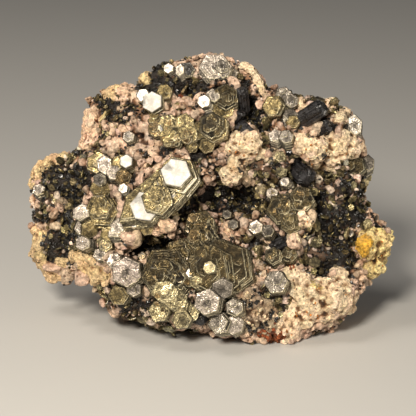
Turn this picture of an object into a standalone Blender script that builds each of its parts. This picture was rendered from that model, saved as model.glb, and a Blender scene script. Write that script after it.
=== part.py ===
# Mica crystals grown on their matrix: a hand specimen that stands on a flat broken base.
# Places are read on the face of the specimen, in millimetres: u runs to the right, v up the
# face, and w out of it towards the eye. The face leans back, as a displayed specimen's does.

import math
from collections import namedtuple

import bmesh
import bpy
from mathutils import Matrix, Vector, noise

MM = 0.001

# How the specimen stands: its face leans back, and its middle is this far up and back
FACE_LEAN = math.radians(18)
EYE_DISTANCE = 430.0
RISE = 35.4
SET_BACK = 13.0

# Driving dimensions of the matrix, in millimetres
OUTLINE_CENTRE = (0.75, 0.0)
BACK_MIDDLE = -36.0
BREAK_CENTRE = (0.75, 0.0, -18.0)
LOBE_EDGE = -30.0
LOBE_WIDTH = 8.0
LOBE_BACK = -37.0
HEEL_DROP = 10.0
FRONT_ROUGHNESS = 0.5
BACK_ROUGHNESS = 1.4
WAVE_LENGTH = 9.0
RIPPLE = 0.5
RIPPLE_LENGTH = 3.2
SEAT_REACH = 1.6
BLOCK_SIDE = 200.0
GAP = 0.3

# Shares and powers that shape the matrix
BACK_FALL = 0.16
BREAK_ONSET = 1.8
BREAK_SHARE = 0.9
FRONT_FLATNESS = 4.0
BACK_FLATNESS = 3.0
LEAST_ROUNDNESS = 0.55
SEAT_POWER = 1.7
BOOK_SUNK = 0.45
PRISM_SUNK = 0.2
ROUGHNESS_SEED = 4
BODY_FINENESS = 6
MATRIX_SHARE = 0.074
FLAT_ENOUGH = math.radians(3)

# Shares that shape the crystals
PLATE_SHARE = 0.4
FOOT_WIDENING = 1.07
LAYERED_FROM = 3.5
PRISM_THICKNESS = 0.82
PRISM_BEVEL = 0.24
PRISM_TIP = 0.16
PRISM_SPIN = 20

# Faces turned this far to the right and up send the main light to the eye
LIT = (-0.13, 0.17)

# A book of mica: the middle of its top face, its radius to a corner, its depth, the way its
# face turns (right and up, as shares of its normal), the angle of a corner, and its stretch
Book = namedtuple("Book", "u v w radius depth right up spin stretch", defaults=(1.0,))
# A lump of crust: its middle, its radius, and its stretch along an angle
Lump = namedtuple("Lump", "u v w radius stretch angle", defaults=(1.0, 0.0))
# A dark prism: its middle, its length and width, and the way its long axis points
Prism = namedtuple("Prism", "u v w length width right up")

# The outline of the matrix, clockwise from its top, with the depth of the rim at each point
OUTLINE = (
    (-1.25, 36.5, -14), (2.5, 35.25, -14), (6.5, 34.0, -15), (8.75, 33.5, -15),
    (11.5, 31.25, -15), (12.75, 28.5, -14), (15.75, 27.25, -12), (18.5, 27.5, -12),
    (21.25, 25.5, -12), (23.5, 25.0, -12), (26.5, 25.75, -14), (30.25, 24.25, -15),
    (33.25, 22.25, -16), (36.0, 20.25, -16), (37.25, 17.5, -16), (36.5, 15.0, -16),
    (37.75, 11.75, -16), (39.75, 10.25, -17), (39.75, 7.5, -17), (38.0, 5.5, -16),
    (37.5, 1.0, -15), (38.75, -2.0, -16), (41.5, -5.25, -17), (44.25, -8.75, -18),
    (43.75, -12.5, -18), (42.25, -15.75, -18), (40.75, -18.5, -18), (38.25, -20.5, -17),
    (35.25, -24.0, -16), (34.25, -28.25, -14), (30.25, -31.5, -11), (25.0, -32.5, -8),
    (21.5, -35.0, -5), (18.0, -36.5, -4), (14.0, -36.0, -4), (11.0, -36.25, -4),
    (7.75, -34.0, -3), (3.25, -33.0, -2), (-1.75, -31.5, -3), (-6.0, -31.0, -4),
    (-10.0, -32.0, -5), (-14.25, -30.0, -6), (-19.25, -28.75, -7), (-24.25, -27.75, -8),
    (-26.25, -25.5, -9), (-27.75, -22.0, -10), (-30.5, -19.0, -11), (-32.25, -17.5, -14),
    (-37.25, -19.0, -22), (-40.5, -18.5, -24), (-43.25, -16.0, -24), (-45.0, -13.0, -24),
    (-43.0, -9.5, -23), (-44.5, -5.5, -23), (-44.75, -1.25, -23), (-45.0, 2.5, -23),
    (-45.25, 5.25, -24), (-43.75, 8.25, -24), (-40.5, 10.25, -24), (-37.0, 11.25, -23),
    (-34.0, 10.0, -22), (-32.5, 13.0, -18), (-31.0, 15.5, -17), (-31.75, 19.0, -17),
    (-30.25, 22.0, -16), (-31.0, 24.5, -16), (-28.0, 26.5, -16), (-23.5, 28.0, -16),
    (-18.75, 28.5, -16), (-16.25, 31.25, -16), (-13.0, 34.0, -15), (-8.5, 35.0, -14),
    (-4.5, 34.75, -14),
)

# Mica, one solid for each group of books that have grown together
MICA = {
    "mica_centre_books": (
        Book(-9.1, 6.8, 6.9, 3.8, 2.4, *LIT, -11),
        Book(-8.6, 6.3, 5.9, 4.8, 4.0, -0.08, 0.12, -11),
        Book(-13.7, 0.0, 7.6, 3.9, 4.5, 0.0, 0.02, -13),
        Book(-16.8, -1.6, 6.3, 3.75, 3.5, *LIT, -10),
        Book(-11.0, 2.7, 5.6, 4.5, 5.0, -0.06, 0.08, -13),
        Book(-15.2, 1.8, 4.6, 4.6, 5.0, -0.16, 0.20, 39, 2.3),
    ),
    "mica_left_books": (
        Book(-28.3, -1.9, 2.0, 3.3, 3.0, -0.16, -0.10, 4),
        Book(-27.4, -2.9, 0.8, 3.9, 4.0, -0.05, -0.12, -2),
        Book(-26.6, -3.4, -0.4, 4.2, 3.5, 0.05, -0.15, 2),
        Book(-32.8, -3.1, 0.4, 2.05, 4.0, -0.28, 0.08, 28, 1.2),
    ),
    "mica_left_chevrons": (
        Book(-30.4, -7.6, 0.2, 2.4, 5.5, 0.42, -0.34, 20),
        Book(-32.6, -7.0, -0.6, 2.0, 6.0, -0.24, 0.0, 10),
        Book(-32.4, -10.9, -0.6, 2.0, 6.0, -0.18, -0.14, 30),
    ),
    "mica_upper_left_books": (
        Book(-28.7, 9.4, -1.6, 2.7, 4.5, -0.18, 0.08, 30, 1.15),
        Book(-26.9, 8.9, 0.2, 2.0, 3.8, -0.08, 0.04, 95, 1.25),
        Book(-28.1, 4.9, 0.3, 1.7, 3.8, -0.10, -0.18, 90),
        Book(-24.5, 6.9, 0.6, 1.9, 3.8, 0.12, 0.18, 60),
        Book(-27.8, 2.6, -1.0, 2.7, 5.0, 0.02, -0.32, 5),
    ),
    "mica_white_pair": (
        Book(-23.0, 9.0, 0.0, 2.4, 5.0, -0.10, -0.10, 15),
        Book(-21.5, 9.7, 1.2, 1.65, 3.8, *LIT, 25),
        Book(-22.1, 5.4, 0.8, 2.2, 5.0, 0.16, -0.22, 10),
    ),
    "mica_white_button": (Book(-22.25, 2.9, 2.6, 1.3, 3.8, *LIT, 15),),
    "mica_top_left_bright": (
        Book(-17.25, 26.2, -3.6, 1.7, 3.8, *LIT, 5),
        Book(-15.0, 24.6, -2.8, 2.4, 6.0, *LIT, 30),
        Book(-11.7, 27.2, -4.2, 2.1, 5.0, 0.28, 0.24, 10),
        Book(-14.6, 20.8, -3.4, 1.9, 3.8, 0.02, 0.5, 0),
    ),
    "mica_cheek_button": (Book(-20.9, 15.9, -1.6, 1.55, 3.8, *LIT, 20),),
    "mica_top_dark_group": (
        Book(-8.0, 32.5, -8.4, 1.25, 3.8, *LIT, 85, 1.35),
        Book(-6.1, 32.5, -9.2, 2.2, 5.0, 0.25, 0.05, 10),
    ),
    "mica_crest_spark": (Book(-10.9, 33.0, -8.4, 1.3, 5.0, *LIT, 25),),
    "mica_top_book": (
        Book(0.9, 33.4, -8.6, 3.9, 5.5, 0.06, 0.42, 5, 1.1),
        Book(4.6, 31.6, -10.0, 2.4, 5.0, 0.3, 0.2, 20),
    ),
    "mica_top_bright_rosette": (
        Book(-2.1, 24.7, -2.8, 1.75, 3.8, *LIT, 18),
        Book(0.3, 26.2, -3.4, 1.9, 3.8, -0.02, 0.22, 40),
        Book(3.5, 25.8, -4.0, 3.5, 5.0, 0.22, 0.05, 30),
        Book(3.0, 23.2, -4.8, 3.2, 5.0, 0.24, -0.18, 25),
    ),
    "mica_upper_rosette": (
        Book(-10.9, 18.8, 1.2, 2.9, 5.0, -0.10, 0.08, 8),
        Book(-6.9, 19.3, 1.6, 2.7, 5.0, 0.10, 0.14, 20),
        Book(-10.2, 15.8, 2.0, 3.1, 5.5, -0.05, -0.14, 2),
        Book(-6.2, 16.4, 2.3, 2.6, 5.5, 0.12, -0.08, 25),
        Book(-4.0, 17.2, 0.7, 2.7, 5.0, 0.42, 0.02, 10),
        Book(-14.3, 17.6, 0.2, 2.1, 5.0, -0.2, 0.0, 25),
    ),
    "mica_rosette_foot": (Book(-4.9, 13.2, 0.4, 1.7, 3.8, 0.2, -0.28, 10),),
    "mica_dark_gold_book": (
        Book(0.0, 18.6, 1.8, 3.4, 3.0, 0.08, 0.04, 27),
        Book(0.4, 18.2, 0.6, 3.9, 5.5, 0.12, 0.0, 27),
        Book(-1.2, 13.5, 0.4, 2.1, 5.0, 0.2, -0.3, 15),
    ),
    "mica_right_top_hex": (
        Book(15.4, 23.4, -4.8, 2.9, 4.5, 0.0, -0.12, 2),
        Book(18.0, 26.3, -7.4, 2.3, 5.0, 0.1, 0.12, 15),
        Book(20.0, 24.8, -6.8, 1.9, 3.8, 0.25, 0.1, 30),
    ),
    "mica_right_top_stack": (
        Book(19.7, 21.4, -6.0, 2.0, 3.8, 0.16, 0.6, 10),
        Book(20.3, 19.5, -5.2, 1.8, 3.8, 0.12, -0.12, 0),
    ),
    "mica_right_silver_pair": (
        Book(18.6, 15.9, -2.0, 1.9, 3.8, 0.05, 0.3, 15),
        Book(15.9, 16.1, -2.8, 1.9, 3.8, -0.15, 0.22, 40),
    ),
    "mica_right_edge_book": (Book(35.6, 18.6, -10.0, 2.3, 5.0, 0.34, 0.06, 85, 1.25),),
    "mica_right_dark_books": (
        Book(35.8, 8.6, -9.0, 2.8, 5.0, 0.1, -0.1, 40),
        Book(39.2, 9.1, -12.6, 1.9, 3.8, 0.4, 0.05, 88, 1.2),
    ),
    "mica_right_centre_books": (
        Book(22.4, 0.2, 1.2, 3.3, 4.0, 0.06, 0.12, 55),
        Book(17.6, -2.4, 1.0, 4.2, 5.0, -0.16, -0.08, 10),
        Book(19.6, -6.0, 0.6, 2.9, 5.5, -0.05, -0.25, 30),
        Book(15.0, 1.7, -1.0, 1.5, 4.5, *LIT, 20),
    ),
    "mica_centre_spark": (Book(18.1, 4.6, -2.6, 1.3, 3.8, *LIT, 50),),
    "mica_centre_silver": (
        Book(10.9, -6.7, -2.6, 1.95, 3.8, -0.04, 0.1, 20),
        Book(14.0, -7.8, -3.0, 1.7, 3.8, 0.1, 0.0, 0),
    ),
    "mica_cleft_high": (Book(3.7, -3.6, -5.4, 1.2, 3.8, 0.0, -0.1, 15),),
    "mica_cleft_low": (Book(5.3, -6.2, -4.4, 1.3, 3.8, 0.05, -0.2, 35),),
    "mica_great_rosette": (
        Book(-11.7, -18.9, 5.2, 5.4, 3.5, -0.10, -0.05, 3),
        Book(-11.3, -18.3, 3.8, 6.7, 7.0, -0.08, -0.02, 3),
        Book(-7.2, -13.6, 3.2, 4.4, 6.0, 0.0, 0.08, 20),
        Book(-5.2, -18.6, 4.6, 3.6, 6.0, 0.12, 0.0, 8),
        Book(-4.0, -20.4, 5.8, 1.7, 3.8, 0.02, -0.2, 30),
        Book(-10.6, -24.0, 5.4, 3.5, 6.0, 0.06, -0.3, 10),
        Book(-8.0, -26.3, 5.2, 2.5, 6.0, 0.12, -0.5, 5),
        Book(-12.5, -27.8, 4.2, 2.8, 5.0, 0.0, -0.2, 0),
    ),
    "mica_rosette_button": (Book(-7.6, -30.0, 4.6, 2.5, 4.5, 0.0, -0.16, 2),),
    "mica_rosette_crown": (
        Book(-3.0, -6.2, 1.2, 4.2, 5.0, 0.10, 0.28, 15),
        Book(-2.2, -9.6, 2.8, 4.3, 6.0, 0.12, 0.14, 5),
    ),
    "mica_great_right_books": (
        Book(0.0, -15.9, 5.4, 4.8, 6.0, 0.10, 0.0, 30),
        Book(-0.3, -16.6, 6.0, 1.6, 3.0, *LIT, 15),
        Book(4.2, -16.9, 4.9, 6.1, 6.5, 0.2, -0.06, -22),
        Book(2.6, -22.4, 5.0, 3.0, 6.0, 0.16, -0.28, 25),
    ),
    "mica_silver_fan": (Book(-1.25, -25.6, 8.0, 3.25, 7.0, 0.0, -0.1, 18),),
    "mica_foot_books": (
        Book(5.7, -26.9, 5.4, 2.35, 6.0, 0.08, 0.02, 35),
        Book(1.9, -30.9, 4.4, 2.95, 5.5, -0.05, -0.08, 8),
        Book(5.6, -31.3, 3.6, 2.5, 5.0, 0.12, -0.1, 20),
    ),
    "mica_lower_left_books": (
        Book(-21.4, -18.0, 3.4, 3.9, 5.0, -0.10, 0.0, 35),
        Book(-24.5, -15.2, 1.8, 2.0, 3.8, -0.12, 0.05, 10),
        Book(-19.6, -22.4, 1.8, 2.0, 3.8, 0.0, -0.15, 30),
    ),
    "mica_lower_left_gold": (Book(-23.4, -24.0, 0.8, 2.6, 5.0, -0.10, -0.26, 0),),
    "mica_left_foot_silver": (
        Book(-28.1, -13.7, 0.0, 1.7, 3.8, -0.1, 0.0, 15),
        Book(-26.7, -11.2, 0.2, 1.9, 3.8, -0.05, 0.1, 40),
    ),
    "mica_left_centre_plates": (
        Book(-23.6, -6.7, 1.8, 2.4, 5.0, -0.26, 0.34, 42, 1.4),
        Book(-26.0, -8.6, 1.2, 2.0, 3.8, -0.05, -0.2, 20),
    ),
    "mica_silver_button": (Book(-19.6, -5.9, 3.2, 1.35, 3.8, *LIT, 25),),
    "mica_gold_button": (Book(-16.3, -7.4, 2.4, 1.7, 3.8, 0.08, -0.26, 10),),
    "mica_lower_right_hex": (Book(16.0, -20.6, 3.2, 2.95, 4.5, 0.0, -0.04, 4),),
    "mica_lower_right_pair": (
        Book(15.5, -14.1, 0.4, 2.35, 5.0, 0.04, 0.08, 25),
        Book(19.4, -13.6, -0.6, 2.2, 5.0, 0.14, 0.12, 50),
    ),
    "mica_lobe_silver": (Book(-43.3, 2.7, -16.0, 1.7, 3.8, *LIT, 20),),
}

# Dark prisms, each with its middle, its size and its long axis
DARK_PRISMS = {
    "dark_prism_shoulder": Prism(24.6, 21.2, -7.6, 8.5, 5.6, 0.74, 0.46),
    "dark_prism_shoulder_low": Prism(27.6, 17.4, -9.6, 6.5, 4.2, 0.62, 0.36),
    "dark_prism_right": Prism(22.2, 7.0, -7.6, 7.0, 5.8, 0.45, -0.5),
    "dark_prism_right_high": Prism(20.0, 11.2, -7.0, 5.0, 3.4, -0.3, 0.7),
    "dark_prism_cave_high": Prism(7.7, 24.8, -8.4, 7.6, 3.0, -0.12, 0.8),
    "dark_prism_cave": Prism(6.3, 20.6, -8.0, 4.4, 2.8, 0.5, 0.6),
    "dark_prism_cave_low": Prism(8.6, 17.4, -5.6, 5.4, 3.0, 0.62, -0.66),
    "dark_prism_low_right": Prism(17.0, -10.9, -5.6, 5.2, 3.6, 0.76, 0.36),
    "dark_prism_foot": Prism(-3.8, -29.2, 0.2, 5.4, 3.4, 0.8, -0.2),
}

# Lumps of the matrix by mineral
LUMPS = {
    "cream crust": (
        Lump(8.5, 13.75, -3.6, 3.6), Lump(24.6, 13.0, -4.6, 3.4, 1.25, -20),
        Lump(30.75, 14.5, -8.4, 3.4), Lump(34.25, 12.8, -11.0, 3.4), Lump(32.0, 9.6, -9.0, 3.2),
        Lump(31.5, 18.6, -9.6, 3.0), Lump(42.0, -10.3, -13.5, 3.3), Lump(38.3, -11.4, -9.6, 2.8),
        Lump(40.6, -17.0, -15.0, 2.4), Lump(29.5, -24.2, -6.4, 5.0), Lump(23.2, -25.0, -4.6, 4.4),
        Lump(34.0, -20.8, -9.4, 3.9), Lump(12.5, -30.4, -4.6, 4.2), Lump(18.2, -31.2, -4.6, 4.0),
        Lump(24.4, -29.2, -6.2, 3.8), Lump(30.6, -27.8, -8.4, 3.4), Lump(10.6, -24.6, -3.4, 3.6),
        Lump(23.0, -4.6, 0.2, 2.5), Lump(20.8, -9.2, 1.0, 1.6), Lump(21.4, -19.0, -2.6, 2.9),
        Lump(35.8, -5.6, -11.6, 3.2),
    ),
    "pink feldspar": (
        Lump(-1.75, 8.7, -2.8, 3.0), Lump(4.5, 7.6, -4.2, 3.2), Lump(12.5, 8.0, -5.4, 3.2),
        Lump(3.25, 11.4, -3.6, 2.6), Lump(-5.5, 23.0, -5.4, 2.9), Lump(-19.2, 20.2, -6.0, 3.2),
        Lump(-24.2, 16.4, -7.0, 3.4), Lump(-25.2, 13.0, -5.4, 2.8), Lump(-16.8, 12.4, -3.8, 3.2),
        Lump(-11.6, 11.6, -2.4, 2.6), Lump(-11.2, -6.4, 1.0, 3.2), Lump(-21.2, -9.2, 0.2, 2.7),
        Lump(-39.4, -2.2, -17.0, 3.4), Lump(16.0, 7.0, -5.0, 2.6), Lump(9.4, -13.6, -3.4, 2.6),
        Lump(26.5, -13.0, -5.2, 3.0), Lump(18.6, 10.2, -5.6, 2.4),
    ),
    "ochre crust": (
        Lump(-23.5, 24.8, -12.0, 3.7), Lump(-29.2, 18.6, -14.6, 3.1), Lump(-15.6, 30.4, -13.6, 2.2),
        Lump(10.6, 29.4, -13.2, 1.9, 2.6, -56), Lump(-42.2, 7.2, -20.4, 2.6),
        Lump(-37.4, 8.8, -20.4, 2.4), Lump(-42.8, -13.0, -19.6, 2.5), Lump(-38.4, -16.2, -20.6, 2.8),
        Lump(-31.0, -15.6, -8.6, 3.3), Lump(-26.9, -19.4, -6.0, 2.8), Lump(-42.0, -16.0, -20.6, 2.2),
    ),
    "dark grains": (
        Lump(30.8, -3.2, -10.4, 4.6), Lump(30.6, -14.8, -9.4, 4.8), Lump(-37.6, 4.6, -18.6, 5.0),
        Lump(-39.0, -11.0, -18.6, 4.6), Lump(-24.2, 21.4, -10.4, 3.1), Lump(-28.8, 23.6, -13.2, 2.3),
        Lump(-9.2, 30.6, -13.4, 4.2), Lump(-30.0, 12.2, -14.4, 3.0), Lump(-21.7, -25.4, -4.8, 3.3),
        Lump(-15.6, -27.2, -4.0, 3.0), Lump(33.6, 3.8, -10.6, 4.0), Lump(2.4, 29.0, -8.6, 2.9),
        Lump(-29.4, 7.6, -7.6, 2.9),
    ),
}

# The flat breaks that trimmed the back: the way each faces, and how far out it lies
BREAKS = (
    (0.10, 0.05, -1.0, 17.0), (0.50, 0.28, -0.82, 22.0), (-0.46, 0.20, -0.86, 20.5),
    (0.36, -0.36, -0.86, 27.5), (-0.36, -0.32, -0.87, 25.0), (-0.08, 0.72, -0.69, 25.0),
    (0.80, -0.12, -0.58, 30.0), (-0.80, -0.05, -0.60, 37.0), (0.60, 0.60, -0.52, 29.0),
    (-0.62, 0.62, -0.48, 28.0), (0.72, -0.58, -0.36, 37.0), (-0.66, -0.66, -0.35, 33.0),
)

# The bottoms of the clefts, caves and shaded gaps
HOLLOWS = (
    (9.6, 22.4, -15), (11.6, 20.2, -14), (0.75, -0.8, -12), (6.5, -1.0, -15), (11.0, -1.4, -15),
    (-2.5, 2.0, -8), (15.4, -10.4, -10), (-15.6, -10.4, -10), (-11.6, -11.0, -9), (-8.0, -9.6, -8),
    (-36.4, -7.5, -21), (-33.6, 0.4, -16), (-38.6, 0.6, -21), (-35.8, -12.4, -20), (-17.6, 16.8, -9),
    (26.4, -0.4, -10), (-6.8, 27.4, -12), (-31.4, 3.6, -11), (12.6, 3.8, -9), (27.0, 7.4, -12),
    (8.2, -9.4, -7), (25.6, -8.8, -6), (-18.6, -13.6, -5),
)


def direction(right, up):
    """The unit vector that turns this far to the right and up the face, and the rest out of it."""
    out = math.sqrt(max(1.0 - right * right - up * up, 0.0))
    lean_sin = math.sin(FACE_LEAN)
    lean_cos = math.cos(FACE_LEAN)
    return Vector((right, up * lean_sin - out * lean_cos, up * lean_cos + out * lean_sin))


def spot(u, v, w):
    """The point of the row frame, in metres, at this place on the face."""
    near = 1.0 - w / EYE_DISTANCE
    along = u * near
    height = v * near
    lean_sin = math.sin(FACE_LEAN)
    lean_cos = math.cos(FACE_LEAN)
    back = height * lean_sin - w * lean_cos - SET_BACK
    return Vector((along, back, height * lean_cos + w * lean_sin + RISE)) * MM


def turned(u, v, w, right, up, spin=0.0):
    """The matrix that carries a shape on its own Z axis to this place, facing this way."""
    z_axis = direction(right, up)
    x_axis = (Vector((1, 0, 0)) - z_axis * z_axis.x).normalized()
    y_axis = z_axis.cross(x_axis)
    turn = Matrix((x_axis, y_axis, z_axis)).transposed().to_4x4()
    return Matrix.Translation(spot(u, v, w)) @ turn @ Matrix.Rotation(math.radians(spin), 4, "Z")


def collection(name, shown):
    made = bpy.data.collections.new(name)
    made.hide_render = not shown
    bpy.context.scene.collection.children.link(made)
    return made


def add_object(name, shape, group, helper=False):
    """An object made from a bmesh, which is freed."""
    mesh = bpy.data.meshes.new(name)
    shape.to_mesh(mesh)
    shape.free()
    made = bpy.data.objects.new(name, mesh)
    group.objects.link(made)
    if helper:
        made.hide_render = True
        made.display_type = "WIRE"
    return made


def boolean(obj, other, operation):
    made = obj.modifiers.new(other.name, "BOOLEAN")
    made.operation = operation
    made.object = other
    made.solver = "EXACT"


def settle(obj):
    """The object's modifiers worked into its mesh, which keeps only its largest body."""
    bpy.context.view_layer.update()
    graph = bpy.context.evaluated_depsgraph_get()
    mesh = bpy.data.meshes.new_from_object(obj.evaluated_get(graph))
    obj.modifiers.clear()
    shape = bmesh.new()
    shape.from_mesh(mesh)
    bpy.data.meshes.remove(mesh)
    bmesh.ops.dissolve_degenerate(shape, edges=shape.edges, dist=0.01 * MM)
    keep_largest(shape)
    in_triangles(shape)
    shape.to_mesh(obj.data)
    shape.free()


def in_triangles(shape):
    """Joins the nearly flat stretches, and splits the surface into triangles."""
    bmesh.ops.dissolve_limit(shape, angle_limit=FLAT_ENOUGH, verts=shape.verts, edges=shape.edges)
    bmesh.ops.triangulate(shape, faces=shape.faces, ngon_method="EAR_CLIP")
    seen = {}
    for face in shape.faces:
        seen.setdefault(frozenset(face.verts), []).append(face)
    back_to_back = [face for faces in seen.values() if len(faces) == 2 for face in faces]
    bmesh.ops.delete(shape, geom=back_to_back, context="FACES")


def keep_largest(shape):
    """Removes every body of the shape but the one with the most surface."""
    shape.faces.ensure_lookup_table()
    seen = set()
    bodies = []
    for start in shape.faces:
        if start in seen:
            continue
        body = []
        waiting = [start]
        seen.add(start)
        while waiting:
            face = waiting.pop()
            body.append(face)
            for edge in face.edges:
                for other in edge.link_faces:
                    if other not in seen:
                        seen.add(other)
                        waiting.append(other)
        bodies.append(body)
    bodies.sort(key=lambda faces: sum(face.calc_area() for face in faces))
    crumbs = [face for body in bodies[:-1] for face in body]
    bmesh.ops.delete(shape, geom=crumbs, context="FACES")


# Mica

def plates_of(book):
    """The radius, the top and the depth of each plate of a book, from its face inwards."""
    if book.radius < LAYERED_FROM:
        return ((book.radius, 0.0, book.depth),)
    step = PLATE_SHARE * book.depth
    return (
        (book.radius, 0.0, step + GAP),
        (book.radius * FOOT_WIDENING, step, book.depth - step),
    )


def plate(book, radius, top, depth, margin=0.0):
    """A six-sided plate, its face turned as the book's, with a margin all round if asked."""
    shape = bmesh.new()
    to_corner = (radius + margin / math.cos(math.radians(30))) * MM
    bmesh.ops.create_cone(
        shape,
        cap_ends=True,
        segments=6,
        radius1=to_corner,
        radius2=to_corner,
        depth=(depth + 2 * margin) * MM,
    )
    corner_on_x = Matrix.Rotation(math.radians(30), 4, "Z")
    stretch = Matrix.Diagonal((book.stretch, 1.0, 1.0, 1.0))
    sink = Matrix.Translation((0, 0, -(top + depth / 2) * MM))
    place = turned(book.u, book.v, book.w, book.right, book.up, book.spin)
    bmesh.ops.transform(shape, matrix=place @ sink @ stretch @ corner_on_x, verts=shape.verts)
    return shape


def mica(name, books, group, margin=0.0):
    """The plates of a group of books, joined in one solid."""
    shapes = []
    for book in books:
        for radius, top, depth in plates_of(book):
            shapes.append(plate(book, radius, top, depth, margin))
    helper = margin > 0
    first = add_object(name, shapes[0], group, helper)
    others = [add_object(name + "_plate", shape, group, True) for shape in shapes[1:]]
    for other in others:
        boolean(first, other, "UNION")
    settle(first)
    for other in others:
        bpy.data.objects.remove(other)
    return first


# Dark prisms

def dark_prism(name, prism, group, margin=0.0):
    """An eight-sided stubby prism whose ends slope in to small flat tips."""
    shape = bmesh.new()
    side = prism.width + 2 * margin
    length = prism.length + 2 * margin
    bmesh.ops.create_cube(shape, size=1.0)
    size = Vector((side, side * PRISM_THICKNESS, length)) * MM
    bmesh.ops.scale(shape, vec=size, verts=shape.verts)
    uprights = [e for e in shape.edges if abs(e.verts[0].co.z - e.verts[1].co.z) > size.z / 2]
    bmesh.ops.bevel(
        shape,
        geom=uprights,
        offset=PRISM_BEVEL * side * MM,
        offset_type="OFFSET",
        segments=1,
        profile=0.5,
        affect="EDGES",
        material=-1,
    )
    ends = [face for face in shape.faces if abs(face.normal.z) > 0.9]
    for face in ends:
        bmesh.ops.inset_individual(shape, faces=[face], thickness=PRISM_BEVEL * side * MM)
        tip = math.copysign(PRISM_TIP * side * MM, face.normal.z)
        bmesh.ops.translate(shape, vec=(0, 0, tip), verts=face.verts)
    pointed = length + 2 * PRISM_TIP * side
    bmesh.ops.scale(shape, vec=(1, 1, length / pointed), verts=shape.verts)
    place = turned(prism.u, prism.v, prism.w, prism.right, prism.up, PRISM_SPIN)
    bmesh.ops.transform(shape, matrix=place, verts=shape.verts)
    return add_object(name, shape, group, margin > 0)


# The matrix

def rim_at(angle, rim):
    """The outline's radius and depth at this angle round its centre."""
    for a, b in zip(rim, rim[1:]):
        if a[0] <= angle <= b[0]:
            share = (angle - a[0]) / (b[0] - a[0])
            return a[1] + (b[1] - a[1]) * share, a[2] + (b[2] - a[2]) * share
    return rim[0][1], rim[0][2]


def rim_table():
    """The outline as angle, radius and depth, closed over a full turn."""
    rows = []
    for u, v, w in OUTLINE:
        du = u - OUTLINE_CENTRE[0]
        dv = v - OUTLINE_CENTRE[1]
        rows.append((math.atan2(dv, du), math.hypot(du, dv), w))
    rows.sort()
    turn = 2 * math.pi
    before = (rows[-1][0] - turn, rows[-1][1], rows[-1][2])
    after = (rows[0][0] + turn, rows[0][1], rows[0][2])
    return [before, *rows, after]


def roundness(across):
    """How much of its full height the front has left this far out, as a share of the rim's radius."""
    left = max(1.0 - across**FRONT_FLATNESS, 0.0) ** (1 / FRONT_FLATNESS)
    return max(left, LEAST_ROUNDNESS)


def seats(rim):
    """The heights that the front of the matrix passes through: what it carries, and hollows."""
    found = list(HOLLOWS)
    for books in MICA.values():
        found += [(b.u, b.v, b.w - BOOK_SUNK * b.depth) for b in books]
    for prism in DARK_PRISMS.values():
        found.append((prism.u, prism.v, prism.w - PRISM_SUNK * prism.width))
    for lumps in LUMPS.values():
        found += [(lump.u, lump.v, lump.w) for lump in lumps]
    heights = []
    for u, v, w in found:
        du = u - OUTLINE_CENTRE[0]
        dv = v - OUTLINE_CENTRE[1]
        radius, rim_w = rim_at(math.atan2(dv, du), rim)
        left = roundness(min(math.hypot(du, dv) / radius, 1.0))
        heights.append((u, v, rim_w + (w - rim_w) / left))
    return heights


def front_depth(u, v, found):
    """The front's height at this place, drawn through the seats near it."""
    total = 0.0
    weight = 0.0
    for seat_u, seat_v, seat_w in found:
        apart = (u - seat_u) ** 2 + (v - seat_v) ** 2
        pull = 1.0 / (apart + SEAT_REACH**2) ** SEAT_POWER
        total += pull * seat_w
        weight += pull
    return total / weight


def back_depth(u, v):
    """The back's height, which is further out at the foot and shallow behind the left lobe."""
    depth = BACK_MIDDLE + BACK_FALL * v
    lobe = min(max((LOBE_EDGE - u) / LOBE_WIDTH, 0.0), 1.0)
    return depth + (LOBE_BACK - depth) * lobe


def broken(u, v, w):
    """The place, moved in to the flat breaks that it lies outside of."""
    place = Vector((u, v, w))
    middle = Vector(BREAK_CENTRE)
    for right, up, out, reach in BREAKS:
        facing = Vector((right, up, out)).normalized()
        over = facing.dot(place - middle) - reach
        if over > 0:
            place -= facing * over * BREAK_SHARE
    return place


def over_lumps(u, v, w):
    """The front's height here, raised to any lump that stands over it."""
    for lumps in LUMPS.values():
        for lump in lumps:
            turn = math.radians(lump.angle)
            du = u - lump.u
            dv = v - lump.v
            long = (du * math.cos(turn) + dv * math.sin(turn)) / (lump.radius * lump.stretch)
            short = (dv * math.cos(turn) - du * math.sin(turn)) / lump.radius
            inside = 1.0 - long * long - short * short
            if inside > 0:
                w = max(w, lump.w + lump.radius * math.sqrt(inside))
    return w


def matrix_body():
    """The matrix before its sockets: a ball drawn out to the outline, the front and the back."""
    noise.seed_set(ROUGHNESS_SEED)
    rim = rim_table()
    found = seats(rim)
    shape = bmesh.new()
    bmesh.ops.create_icosphere(shape, subdivisions=BODY_FINENESS, radius=1.0)
    for vert in shape.verts:
        x, y, z = vert.co.normalized()
        flatness = FRONT_FLATNESS if z > 0 else BACK_FLATNESS
        across = math.hypot(x, y)
        size = (across**flatness + abs(z) ** flatness) ** (1 / flatness)
        radius, rim_w = rim_at(math.atan2(y, x), rim)
        out = radius * across / size
        share = abs(z) / size
        u = OUTLINE_CENTRE[0] + out * (x / max(across, 1e-9))
        v = OUTLINE_CENTRE[1] + out * (y / max(across, 1e-9))
        far = front_depth(u, v, found) if z > 0 else back_depth(u, v)
        w = rim_w + (far - rim_w) * share
        if z > 0:
            place = Vector((u, v, over_lumps(u, v, w)))
            rough = FRONT_ROUGHNESS
        else:
            v += HEEL_DROP * share**2 * min(y / size, 0.0)
            place = Vector((u, v, w))
            place = place.lerp(broken(u, v, w), min(share * BREAK_ONSET, 1.0))
            rough = BACK_ROUGHNESS
        wave = noise.noise_vector(place / WAVE_LENGTH)
        ripple = noise.noise_vector(place / RIPPLE_LENGTH)
        place += (wave * rough + ripple * RIPPLE) * share
        vert.co = spot(*place)
    return shape


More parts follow.
